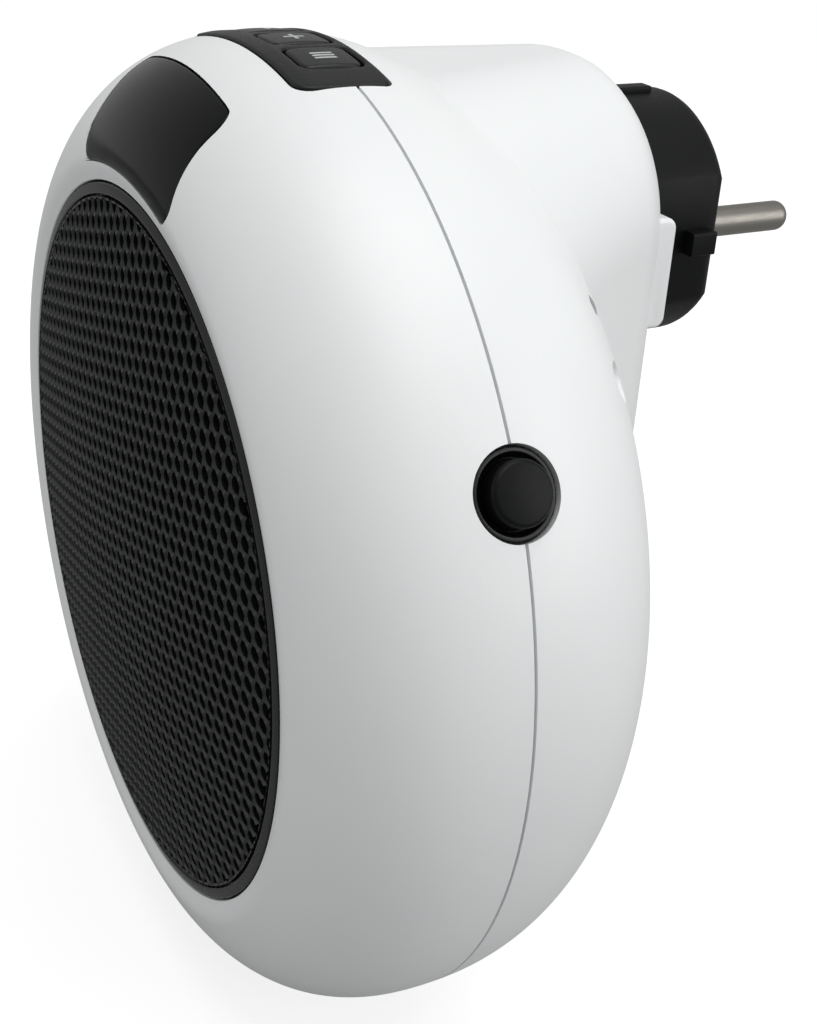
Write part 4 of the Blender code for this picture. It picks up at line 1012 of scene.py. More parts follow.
@dataclass
class SkinPlate:
    """A plate that follows a skin: made flat with rounded rims, cut into a grid, then laid on the skin."""

    surface: Callable[[float, float], Vector]
    outline: Outline
    holes: Sequence[Outline] = ()
    thickness: float = 2.0
    rounding: float = 0.3
    grid: float = 1.0
    rim_steps: int = 4
    probe: float = 0.01
    cut_distance: float = 1e-5

    def rims(self) -> list[Point]:
        """How far each ring of the rounded rim is drawn in, and how deep it lies.

        Returns:
            An inset and a depth for each ring.
        """
        rings = [
            (self.rounding * (1 - math.sin(angle)), self.rounding * (1 - math.cos(angle)))
            for angle in quarter(self.rim_steps)
        ]
        return [*rings, (0.0, self.thickness)]

    def flat(self) -> Shape:
        """The plate before it is bent, with its top at zero and its depth downward.

        Returns:
            The flat plate, as wide as its outline.
        """
        shape = bmesh.new()
        tops, bottoms = [], []
        for sign, source in [(-1, self.outline)] + [(1, hole) for hole in self.holes]:
            rings = []
            for inset, depth in self.rims():
                rings.append([shape.verts.new((u, v, -depth)) for u, v in source(sign * inset)])
            banded(shape, rings)
            tops.append(rings[0])
            bottoms.append(rings[-1])
        for loops in (tops, bottoms):
            if len(loops) == 1:
                shape.faces.new(loops[0])
                continue
            edges = []
            for loop in loops:
                edges += [shape.edges.get(pair) for pair in zip(loop, loop[1:] + loop[:1])]
            bmesh.ops.triangle_fill(shape, use_beauty=True, use_dissolve=False, edges=edges)
        return shape

    def built(self) -> Shape:
        """The plate on its skin, with the same grid of faces over and under.

        Returns:
            The closed plate.
        """
        shape = self.flat()
        low = [min(v.co[axis] for v in shape.verts) for axis in (0, 1)]
        high = [max(v.co[axis] for v in shape.verts) for axis in (0, 1)]
        for axis in (0, 1):
            count = max(1, int((high[axis] - low[axis]) / self.grid))
            for number in range(1, count):
                place, direction = Vector(), Vector()
                place[axis] = low[axis] + (high[axis] - low[axis]) * number / count
                direction[axis] = 1.0
                bmesh.ops.bisect_plane(
                    shape,
                    geom=shape.verts[:] + shape.edges[:] + shape.faces[:],
                    dist=self.cut_distance,
                    plane_co=place,
                    plane_no=direction,
                )
        for vert in shape.verts:
            vert.co = self.lifted(*vert.co)
        return outward(shape)

    def lifted(self, u: float, v: float, w: float) -> Vector:
        """The place of a flat point on the skin.

        Args:
            u: its first coordinate along the skin.
            v: its second coordinate along the skin.
            w: how far it stands above the skin.

        Returns:
            The place in space.
        """
        along = self.surface(u + self.probe, v) - self.surface(u - self.probe, v)
        across = self.surface(u, v + self.probe) - self.surface(u, v - self.probe)
        normal = along.cross(across).normalized()
        point = self.surface(u, v)
        if normal.dot(point - DRUM_MIDDLE) < 0:
            normal = -normal
        return point + normal * w


# Repeated shapes


class RepeatTree:
    """A Geometry Nodes tree with named inputs, which repeats the shape of the object that carries it."""

    def __init__(self, name: str, sizes: dict[str, float], finish: Finish) -> None:
        """Starts the tree with a named input for each size, and one for the material.

        Args:
            name: the tree's name.
            sizes: each size, whole or not, by its input's name.
            finish: the finish of what the tree makes.
        """
        self.sizes = sizes
        self.finish = finish
        self.group = bpy.data.node_groups.new(name, "GeometryNodeTree")
        sockets = self.group.interface
        sockets.new_socket("Geometry", in_out="OUTPUT", socket_type="NodeSocketGeometry")
        sockets.new_socket("Geometry", in_out="INPUT", socket_type="NodeSocketGeometry")
        for label, value in sizes.items():
            kind = "NodeSocketInt" if isinstance(value, int) else "NodeSocketFloat"
            sockets.new_socket(label, in_out="INPUT", socket_type=kind).default_value = value
        sockets.new_socket("Material", in_out="INPUT", socket_type="NodeSocketMaterial")
        self.given = add_node(self.group, "NodeGroupInput").outputs
        self.index = Term(self.group, add_node(self.group, "GeometryNodeInputIndex").outputs[0])

    def size(self, label: str) -> Term:
        """A named size, to work with."""
        return Term(self.group, self.given[label])

    def node(self, kind: str, settings: dict | None = None, **links: object) -> bpy.types.NodeSocket:
        """Adds a node to this tree, and returns its first output.

        Args:
            kind: the node's type name.
            settings: its settings.
            links: what feeds each of its inputs, by the input's name.

        Returns:
            The first output socket.
        """
        return add_node(self.group, kind, settings, links).outputs[0]

    def copies(self, points: bpy.types.NodeSocket, **links: object) -> bpy.types.NodeSocket:
        """Puts copies of the carrier's shape on points, and makes them real.

        Args:
            points: the points.
            links: what selects, turns and stretches the copies, by the input's name.

        Returns:
            The copies' geometry.
        """
        shape = self.given["Geometry"]
        laid = self.node("GeometryNodeInstanceOnPoints", Points=points, Instance=shape, **links)
        return self.node("GeometryNodeRealizeInstances", Geometry=laid)

    def grown(self, geometry: bpy.types.NodeSocket, shape: Shape, name: str) -> bpy.types.Mesh:
        """Ends the tree and runs it on a shape.

        Args:
            geometry: what the tree has made, before it gets its material.
            shape: the shape that is repeated. It is used up.
            name: the new mesh's name.

        Returns:
            The result as a plain mesh.
        """
        dressed = self.node("GeometryNodeSetMaterial", Geometry=geometry, Material=self.given["Material"])
        add_node(self.group, "NodeGroupOutput", links={"Geometry": dressed})
        carrier = new_object(f"one_of_{name}", as_mesh(f"one_of_{name}", shape))
        modifier = carrier.modifiers.new(name, "NODES")
        modifier.node_group = self.group
        values = {**self.sizes, "Material": self.finish.material()}
        for item in self.group.interface.items_tree:
            if item.item_type == "SOCKET" and item.in_out == "INPUT" and item.name in values:
                modifier[item.identifier] = values[item.name]
        return evaluated(carrier, name)


# Sub-assemblies


@dataclass
class FrontShell:
    """The front half of the drum, with the outlet's bore, and openings for the window, panel and button."""

    drum: Drum
    wall: float = 2.0
    bore_radius: float = 54.5
    bore_rounding: float = 0.3
    collar_wall: float = 2.5
    collar_depth: float = 12.0
    edge_gap: float = 0.15
    edge_ease: float = 0.1
    edge_corner: float = 0.03
    edge_clearance: float = 0.12
    rebate: float = 0.95
    rebate_length: float = 2.2
    lip_edge: float = 0.05
    lip_slope: float = 0.30
    lip_turn: float = 0.6
    lip_start: float = 60.0
    lip_stop: float = 0.5
    skin_steps: int = 44
    lip_points: int = 26
    inner_steps: int = 20
    steps: int = 288

    def skin_depth(self, radius: float) -> float:
        """The depth of the front skin, which turns into a slope down to the outlet's ring."""
        lip = self.lip_edge - self.lip_slope * (radius - self.bore_radius)
        return float(soft_maximum(self.drum.front_skin_depth(radius), lip, self.lip_turn))

    def level(self, p: np.ndarray) -> np.ndarray:
        """About the distance of points from the front skin, negative inside.

        Args:
            p: the points.

        Returns:
            One value for each point.
        """
        lip = self.lip_edge - self.lip_slope * (np.hypot(p[:, 0], p[:, 2]) - self.bore_radius)
        slope_length = math.hypot(1, self.lip_slope)
        return soft_maximum(self.drum.level(p), (lip - p[:, 1]) / slope_length, self.lip_turn)

    def profile(self) -> list[Point]:
        """The wall's closed profile: skin, sloping front lip, bore, collar, inner wall and rebate.

        Returns:
            The (radius, depth) points.
        """
        rim, edge = self.drum.radius, self.drum.parting - self.edge_gap
        points = [
            (rim - self.edge_ease, edge),
            (rim - self.edge_corner, edge - self.edge_corner),
            (rim, edge - self.edge_ease),
        ]
        below = edge - self.edge_clearance
        skin = self.drum.front_points(0, self.skin_steps)
        points += [(r, y) for r, y in skin if y < below and r > self.lip_start]
        lip_radii = np.linspace(self.lip_start, self.bore_radius + self.lip_stop, self.lip_points)
        points += [(r, self.skin_depth(r)) for r in (*lip_radii, self.bore_radius)]
        corner = len(points) - 1
        collar, start = self.bore_radius + self.collar_wall, edge - self.rebate_length
        inner = [
            (r, y) for r, y in self.drum.front_points(self.wall, self.inner_steps) if r > collar and y < start
        ]
        points += [(self.bore_radius, self.collar_depth), (collar, self.collar_depth), (collar, inner[-1][1])]
        points += [*reversed(inner), (inner[0][0], start)]
        points += [(rim - self.rebate, start), (rim - self.rebate, edge)]
        return fillet(points, {corner: self.bore_rounding})

    def build(self, cutters: Sequence[Shape]) -> bpy.types.Object:
        """Turns the shell, cuts its openings and finishes it.

        Args:
            cutters: what it loses for its openings. They are used up.

        Returns:
            The piece.
        """
        steps = [(Operation.CUT, cutter) for cutter in cutters]
        shape = combined(revolved(self.profile(), self.steps), steps)
        piece = placed("front_shell_skin", shape, WHITE_ABS, skin_normals(self.level))
        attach(piece, "housing")
        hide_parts("front_shell")
        return piece


@dataclass(frozen=True)
class Neck:
    """The neck's skin: an arch over a flat underside, which draws in from the drum to the plug."""

    root_depth: float = 36.0
    end_depth: float = 75.5
    root_half_width: float = 40.4
    end_half_width: float = 22.7
    root_top: float = 70.0
    end_top: float = 71.5
    root_bottom: float = -30.0
    end_bottom: float = 8.0
    root_flat: float = 10.0
    low_corner: float = 8.0
    side_roll: float = 2.4
    side_roll_length: float = 6.0
    top_roll: float = 5.2
    top_roll_length: float = 9.0
    end_rounding: float = 1.2
    arch_start: float = 0.02
    arch_points: int = 14
    corner_points: int = 6
    rough_steps: int = 20

    def level(self, p: np.ndarray) -> np.ndarray:
        """About the distance of points from the neck's skin, negative inside.

        Args:
            p: the points.

        Returns:
            One value for each point.
        """
        share = (p[:, 1] - self.root_depth) / (self.end_depth - self.root_depth)
        to_end = self.end_depth - p[:, 1]

        def between(start: float, end: float) -> np.ndarray:
            """A size that changes evenly from the root to the end."""
            return start + (end - start) * share

        def rolled(amount: float, length: float) -> np.ndarray:
            """How far the skin has rolled in near the end."""
            return amount * np.clip(1 - to_end / length, 0, 2) ** 2

        side_roll = rolled(self.side_roll, self.side_roll_length)
        side = between(self.root_half_width, self.end_half_width) - side_roll
        top = between(self.root_top, self.end_top) - rolled(self.top_roll, self.top_roll_length)
        bottom = between(self.root_bottom, self.end_bottom) + side_roll
        flat = np.clip(between(self.root_flat, 0.0), 0, None)
        arch = side - flat
        x = np.abs(p[:, 0])
        upper = np.hypot(np.clip(x - flat, 0, None), np.clip(p[:, 2] - (top - arch), 0, None)) - arch
        over = np.clip(x - (side - self.low_corner), 0, None)
        under = np.clip(bottom + self.low_corner - p[:, 2], 0, None)
        section = np.maximum(upper, np.hypot(over, under) - self.low_corner)
        return soft_maximum(section, -to_end, self.end_rounding)

    def outline(self, share: float) -> list[Point]:
        """The neck's rough outline, which the projection then makes true.

        Args:
            share: where along the neck, from 0 at its root to 1 at its end.

        Returns:
            The (x, height) points.
        """
        side = self.root_half_width + (self.end_half_width - self.root_half_width) * share
        top = self.root_top + (self.end_top - self.root_top) * share
        bottom = self.root_bottom + (self.end_bottom - self.root_bottom) * share
        flat = self.root_flat * (1 - share)
        arch, corner = side - flat, self.low_corner
        half = [
            (flat + arch * math.sin(a), top - arch + arch * math.cos(a))
            for a in np.linspace(self.arch_start, QUARTER, self.arch_points)
        ]
        half += [
            (side - corner + corner * math.cos(a), bottom + corner - corner * math.sin(a))
            for a in np.linspace(0, QUARTER, self.corner_points)
        ]
        return half + [(-x, z) for x, z in reversed(half)]

    def rough(self) -> Shape:
        """The neck as a rough closed shape.

        Returns:
            The shape, from its root to its end.
        """
        rings = []
        for step in range(self.rough_steps + 1):
            share = step / self.rough_steps
            depth = self.root_depth + (self.end_depth - self.root_depth) * share
            rings.append([(x, depth, z) for x, z in self.outline(share)])
        return lofted(rings)


@dataclass
class RearShell:
    """The rear half of the drum, flowing into the neck that holds the plug, with its air slots."""

    drum: Drum
    neck: Neck
    plug_height: float = 45.0
    blend: float = 2.4
    blend_probe: float = 0.05
    least_blend: float = 1e-3
    wall: float = 2.0
    voxel: float = 1.25
    rough_front: float = 12.0
    rough_steps: int = 40
    rough_turns: int = 160
    project_from: float = 16.0
    project_rounds: int = 8
    project_limit: float = 0.8
    project_slope: float = 0.05
    edge_gap: float = 0.25
    edge_cut_distance: float = 1e-4
    tongue_gap: float = 1.05
    tongue_inset: float = 2.3
    tongue_front: float = 22.9
    tongue_rear: float = 26.4
    tongue_turns: int = 288
    mouth_radius: float = 19.7
    mouth_start: float = 66.0
    mouth_end: float = 80.0
    mouth_turns: int = 96
    notch_half: float = 1.8
    notch_height: float = 20.5
    slot_first_angle: float = math.radians(42.5)
    slot_count: int = 31
    slot_width: float = 2.9
    slot_shoulder: float = 0.46
    slot_start: float = 40.0
    slot_end: float = 63.0
    slot_inner: float = 44.0
    slot_outer: float = 61.1
    slot_inner_beside_neck: float = 52.0
    slot_outer_beside_neck: float = 65.8
    post_slots: tuple[int, ...] = (1, 9, 21, 29)
    post_circle: float = 63.0
    post_radius: float = 4.2
    post_start: float = 25.0
    post_turns: int = 40
    head_hole_radius: float = 2.9
    head_hole_start: float = 30.0
    head_hole_end: float = 62.0
    cheek_inner: float = 17.3
    cheek_outer: float = 20.3
    cheek_root: float = 3.0
    cheek_end: float = 78.6
    cheek_low: float = -12.3
    cheek_high: float = 5.0
    cheek_low_corner: float = 1.6
    cheek_high_corner: float = 1.8
    cheek_rounding: float = 0.7

    def level(self, p: np.ndarray) -> np.ndarray:
        """The drum's and the neck's skins as one.

        They are blended where they meet at an angle, and left alone where they run along each other.

        Args:
            p: the points.

        Returns:
            One value for each point, negative inside.
        """
        drum, neck = self.drum.level(p), self.neck.level(p)
        facing = [unit(gradient(skin, p, self.blend_probe)) for skin in (self.drum.level, self.neck.level)]
        along = (facing[0] * facing[1]).sum(1)
        width = np.maximum(self.blend * np.clip(1 - along, 0, 1), self.least_blend)
        return -soft_maximum(-drum, -neck, width)

    def rough(self) -> Shape:
        """The drum's rear and the neck as two overlapping closed shapes, for the remesh.

        Returns:
            Both shapes in one.
        """
        profile = [(0.0, self.rough_front), (self.drum.radius, self.rough_front)]
        for angle in quarter(self.rough_steps)[:-1]:
            radius = self.drum.radius * max(0.0, math.cos(angle)) ** (2 / self.drum.rear_across)
            profile.append((radius, self.drum.rear_skin_depth(radius)))
        profile.append((0.0, self.drum.rear_skin_depth(0.0)))
        return merged([revolved(profile, self.rough_turns), self.neck.rough()])

    def skin(self) -> Shape:
        """The open outer skin behind the parting line, on an even mesh drawn onto the blended level.

        Returns:
            The skin, open at the parting line.
        """
        base = new_object("rear_solid", as_mesh("rear_solid", self.rough()))
        remesh = base.modifiers.new("even_mesh", "REMESH")
        remesh.mode = "VOXEL"
        remesh.voxel_size = self.voxel
        shape = as_shape(evaluated(base, "even_mesh"))
        points = np.array([v.co for v in shape.verts])
        behind = points[:, 1] > self.project_from
        p = points[behind]
        for _ in range(self.project_rounds):
            slope = gradient(self.level, p)
            size = np.maximum((slope**2).sum(1, keepdims=True), self.project_slope)
            p = p - np.clip(self.level(p)[:, None] * slope / size, -self.project_limit, self.project_limit)
        points[behind] = p
        for vert, point in zip(shape.verts, points):
            vert.co = point
        bmesh.ops.bisect_plane(
            shape,
            geom=shape.verts[:] + shape.edges[:] + shape.faces[:],
            dist=self.edge_cut_distance,
            plane_co=(0, self.drum.parting + self.edge_gap, 0),
            plane_no=(0, -1, 0),
            clear_outer=True,
        )
        return shape

    def slot_angle(self, index: int) -> float:
        """The angle of a slot from up toward +X."""
        return self.slot_first_angle + (TURN - 2 * self.slot_first_angle) * index / (self.slot_count - 1)

    def slot_cutters(self) -> Shape:
        """The air slots' cutters: one slot with pointed ends, spread round the drum by Geometry Nodes.

        Returns:
            All the cutters in one shape.
        """
        sizes = {
            "Count": self.slot_count,
            "First Angle": self.slot_first_angle,
            "Inner Radius": self.slot_inner,
            "Inner Radius Beside Neck": self.slot_inner_beside_neck,
            "Outer Radius": self.slot_outer,
            "Outer Radius Beside Neck": self.slot_outer_beside_neck,
        }
        tree = RepeatTree("slot_fan", sizes, WHITE_ABS)
        index, last, first_angle = tree.index, tree.size("Count") - 1.0, tree.size("First Angle")
        turn = (TURN - first_angle * 2.0) * (index / last) + first_angle
        beside = (index * (last - index)).by("LESS_THAN", 0.5)
        reaches = []
        for name in ("Inner Radius", "Outer Radius"):
            plain = tree.size(name)
            reaches.append(plain + (tree.size(f"{name} Beside Neck") - plain) * beside)
        length, middle = reaches[1] - reaches[0], (reaches[0] + reaches[1]) * 0.5
        from_posts = index - float(self.post_slots[0])
        for post in self.post_slots[1:]:
            from_posts = from_posts * (index - float(post))
        kept = from_posts.by("ABSOLUTE").by("GREATER_THAN", 0.5)
        place = tree.node("ShaderNodeCombineXYZ", X=middle * turn.by("SINE"), Z=middle * turn.by("COSINE"))
        points = tree.node("GeometryNodePoints", Count=tree.size("Count"), Position=place)
        facing = tree.node("ShaderNodeCombineXYZ", Y=turn)
        stretch = tree.node("ShaderNodeCombineXYZ", {"X": 1.0, "Y": 1.0}, Z=length)
        copies = tree.copies(points, Selection=kept, Rotation=facing, Scale=stretch)
        half, shoulder = self.slot_width / 2, self.slot_shoulder
        outline = [(-half, -shoulder), (0.0, -0.5), (half, -shoulder)]
        outline += [(half, shoulder), (0.0, 0.5), (-half, shoulder)]
        return as_shape(tree.grown(copies, prism(outline, self.slot_start, self.slot_end), "air_slots"))

    def at_post(self, shape: Shape, index: int) -> Shape:
        """Turns a shape from the top of the drum to the post in a numbered slot's place."""
        return moved(shape, Matrix.Rotation(self.slot_angle(index), 4, "Y"))

    def post_tube(self) -> Shape:
        """A screw's tube from the parting line to the skin, ending in the wall.

        Returns:
            The closed tube, at the top of the drum.
        """
        shape = bmesh.new()
        rings = []
        corners = ((self.post_radius, False), (self.post_radius, True))
        corners += ((self.head_hole_radius, True), (self.head_hole_radius, False))
        for radius, at_skin in corners:
            ring = []
            for step in range(self.post_turns):
                turn = TURN * step / self.post_turns
                x, z = radius * math.sin(turn), self.post_circle + radius * math.cos(turn)
                skin = self.drum.rear_skin_depth(math.hypot(x, z)) - self.wall / 2
                ring.append(shape.verts.new((x, skin if at_skin else self.post_start, z)))
            rings.append(ring)
        banded(shape, rings + rings[:1])
        return outward(shape)

    def cheek(self, side: Side) -> Shape:
        """The cheek beside the plug's flat, with rounded free corners.

        Args:
            side: the side that it stands on.

        Returns:
            The closed shape.
        """
        low, high = self.plug_height + self.cheek_low, self.plug_height + self.cheek_high
        start, end = self.neck.end_depth - self.cheek_root, self.cheek_end
        corners = {1: self.cheek_low_corner, 2: self.cheek_high_corner}
        outline = fillet([(start, low), (end, low), (end, high), (start, high)], corners, 6)
        faces = (self.cheek_inner, self.cheek_outer)
        shape = lofted([[(side.value * x, y, z) for y, z in outline] for x in faces])
        rim = [e for e in shape.edges if all(abs(abs(v.co.x) - self.cheek_outer) < 1e-4 for v in e.verts)]
        bmesh.ops.bevel(
            shape, geom=rim, offset=self.cheek_rounding, segments=4, affect="EDGES", profile=0.5
        )
        return outward(shape)

    def tongue(self) -> Shape:
        """The lip that reaches under the front shell, and closes the parting line.

        Returns:
            The closed lip.
        """
        outer, inner = self.drum.radius - self.tongue_gap, self.drum.radius - self.tongue_inset
        front, rear = self.tongue_front, self.tongue_rear
        return revolved([(outer, front), (outer, rear), (inner, rear), (inner, front)], self.tongue_turns)

    def build(self, cutters: Sequence[Shape]) -> bpy.types.Object:
        """Gives the skin its wall, cuts its openings, adds cheeks and posts, and finishes it.

        Args:
            cutters: what it loses for the panel and the button. They are used up.

        Returns:
            The piece.
        """
        skin = new_object("rear_skin", as_mesh("rear_skin", self.skin()))
        solid = skin.modifiers.new("wall", "SOLIDIFY")
        solid.thickness = self.wall
        solid.offset = -1
        solid.use_rim = True
        shape = as_shape(evaluated(skin, "rear_wall"))
        mouth = cylinder(self.mouth_radius, self.mouth_start, self.mouth_end, self.mouth_turns)
        notch = box(self.notch_half, self.plug_height, self.plug_height + self.notch_height)
        steps = [
            (Operation.ADD, self.tongue()),
            (Operation.CUT, shifted(mouth, 0, self.plug_height)),
            (Operation.CUT, prism(notch, self.mouth_start, self.mouth_end)),
            *[(Operation.CUT, cutter) for cutter in cutters],
            (Operation.CUT, self.slot_cutters()),
        ]
        for index in self.post_slots:
            hole = cylinder(self.head_hole_radius, self.head_hole_start, self.head_hole_end, self.post_turns)
            steps.append((Operation.CUT, self.at_post(shifted(hole, 0, self.post_circle), index)))
        steps += [(Operation.ADD, self.at_post(self.post_tube(), index)) for index in self.post_slots]
        steps += [(Operation.ADD, self.cheek(side)) for side in Side]
        piece = placed("rear_shell_skin", combined(shape, steps), WHITE_ABS, skin_normals(self.level))
        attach(piece, "housing")
        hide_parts("rear_shell")
        return piece


@dataclass
class Outlet:
    """The outlet's trim ring and its domed honeycomb sheet."""

    ring_radius: float = 54.2
    face_width: float = 1.7
    crest: float = 0.3
    crest_rounding: float = 0.3
    outer_edge: float = 0.05
    outer_rounding: float = 0.25
    skirt_depth: float = 9.0
    lip_width: float = 2.0
    ring_wall: float = 1.2
    ring_turns: int = 256
    sheet_edge_depth: float = -0.25
    sheet_gap: float = 0.3
    dome: float = 2.83
    thickness: float = 1.2
    rim_width: float = 0.35
    rim_drop: float = 0.05
    rim_turns: int = 192
    pitch: float = 2.9594
    row_share: float = 0.9325
    lattice_x: float = 25.832
    lattice_z: float = 23.833
    turn: float = math.radians(14.995)
    wall: float = 0.42
    corner_rise: float = 0.16
    ridge: float = 0.3
    hole_taper: float = 0.02
    overhang: float = 0.3
    cell_join: float = 0.01
    rim_join: float = 0.004
    sliver: float = 0.002

    def ring(self) -> bpy.types.Object:
        """The ring, with a soft crest, a lip under the sheet and a skirt in the bore.

        Returns:
            The piece.
        """
        outer, inner = self.ring_radius, self.ring_radius - self.face_width
        lip, skirt = inner - self.lip_width, self.ring_radius - self.ring_wall
        start = self.sheet_edge_depth + self.thickness + self.sheet_gap
        corners = [
            (outer, self.skirt_depth),
            (skirt, self.skirt_depth),
            (skirt, start + self.ring_wall),
            (lip, start + self.ring_wall),
            (lip, start),
            (inner, start),
            (inner, -self.crest),
            (outer, self.outer_edge),
        ]
        profile = fillet(corners, {6: self.crest_rounding, 7: self.outer_rounding}, 8)
        piece = placed("outlet_ring", revolved(profile, self.ring_turns), BLACK_GLOSS)
        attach(piece, "housing")
        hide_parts("grille_ring")
        return piece

    def cell(self) -> Shape:
        """One cell of the sheet: hexagon outside, round hole inside, with its corners raised.

        Returns:
            The cell, open where it meets its neighbours.
        """
        shape = bmesh.new()
        flat, sides = self.pitch / 2, 12
        hole = flat - self.wall / 2
        rings: list[list[bmesh.types.BMVert]] = [[] for _ in range(4)]
        for step in range(sides):
            angle = math.pi / 6 * step
            corner = step % 2 == 0
            reach = flat / math.cos(math.pi / 6) if corner else flat
            levels = (
                (reach, -self.corner_rise if corner else 0.0),
                (hole, self.ridge),
                (hole - self.hole_taper, self.thickness),
                (reach, self.thickness),
            )
            for ring, (radius, depth) in zip(rings, levels):
                x, z = radius * math.sin(angle), radius * math.cos(angle)
                ring.append(shape.verts.new((x, depth, z * self.row_share)))
        banded(shape, rings)
        return shape

    def sheet_tree(self, sizes: dict[str, float]) -> tuple[RepeatTree, bpy.types.NodeSocket]:
        """The tree that lays cells in rows, trims them to a round sheet and raises the sheet to a dome.

        Args:
            sizes: the tree's sizes, by their names.

        Returns:
            The tree, and the sheet that it has made.
        """
        tree = RepeatTree("honeycomb_sheet", sizes, BLACK_MESH)
        columns, pitch, sheet_radius = (tree.size(name) for name in ("Columns", "Pitch", "Sheet Radius"))
        row = ((tree.index + 0.5) / columns).by("FLOOR")
        across = tree.index - row * columns + row.by("MODULO", 2.0) * 0.5
        x = across * pitch + tree.size("Start X")
        z = tree.size("Start Z") - row * tree.size("Row Step")
        place = tree.node("ShaderNodeCombineXYZ", X=x, Z=z)
        points = tree.node("GeometryNodePoints", Count=columns * tree.size("Rows"), Position=place)
        away, reach = (x * x + z * z).by("SQRT"), sheet_radius + pitch * self.overhang
        cells = tree.copies(points, Selection=away.by("LESS_THAN", reach))
        joined = tree.node("GeometryNodeMergeByDistance", {"Distance": self.cell_join}, Geometry=cells)
        position = tree.node("GeometryNodeInputPosition")
        parts = add_node(tree.group, "ShaderNodeSeparateXYZ", links={"Vector": position}).outputs
        x, y, z = (Term(tree.group, parts[axis]) for axis in "XYZ")
        radius = (x * x + z * z).by("SQRT").by("MAXIMUM", 0.001)
        shrink = (sheet_radius / radius).by("MINIMUM", 1.0)
        near_x, near_z, share = x * shrink, z * shrink, radius * shrink / sheet_radius
        depth = y + tree.size("Edge Depth") - (1.0 - share * share) * tree.size("Dome")
        cosine, sine = tree.size("Turn").by("COSINE"), tree.size("Turn").by("SINE")
        turned_x, turned_z = near_x * cosine - near_z * sine, near_x * sine + near_z * cosine
        final = tree.node("ShaderNodeCombineXYZ", X=turned_x, Y=depth, Z=turned_z)
        domed = tree.node("GeometryNodeSetPosition", Geometry=joined, Position=final)
        return tree, tree.node("GeometryNodeMergeByDistance", {"Distance": self.rim_join}, Geometry=domed)

    def sheet(self) -> bpy.types.Object:
        """The honeycomb sheet, with its cells where the real one has them.

        Returns:
            The piece.
        """
        radius = self.ring_radius - self.face_width - self.sheet_gap
        row_step = self.pitch * math.sqrt(3) / 2 * self.row_share
        below = int((radius + self.lattice_z) / row_step) + 1
        above = int((radius - self.lattice_z) / row_step) + 2
        above += above % 2
        first_row = self.lattice_z + above * row_step
        sizes = {
            "Columns": int(2 * radius / self.pitch) + 3,
            "Rows": below + above,
            "Pitch": self.pitch,
            "Row Step": row_step,
            "Start X": self.lattice_x - self.pitch * math.ceil((self.lattice_x + radius) / self.pitch),
            "Start Z": first_row - self.pitch / math.sqrt(3) * self.row_share,
            "Sheet Radius": radius,
            "Edge Depth": self.sheet_edge_depth,
            "Dome": self.dome - self.corner_rise,
            "Turn": self.turn,
        }
        tree, geometry = self.sheet_tree(sizes)
        shape = as_shape(tree.grown(geometry, self.cell(), "honeycomb"))
        bmesh.ops.dissolve_degenerate(shape, dist=self.sliver, edges=shape.edges[:])
        bmesh.ops.recalc_face_normals(shape, faces=shape.faces[:])
        top, bottom = self.sheet_edge_depth, self.sheet_edge_depth + self.thickness
        inner = radius - self.rim_width
        rim = [(inner, top + self.rim_drop), (radius, top), (radius, bottom), (inner, bottom)]
        piece = placed("honeycomb_sheet", merged([shape, revolved(rim, self.rim_turns)]), BLACK_MESH)
        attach(piece, "housing")
        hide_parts("front_grille")
        return piece


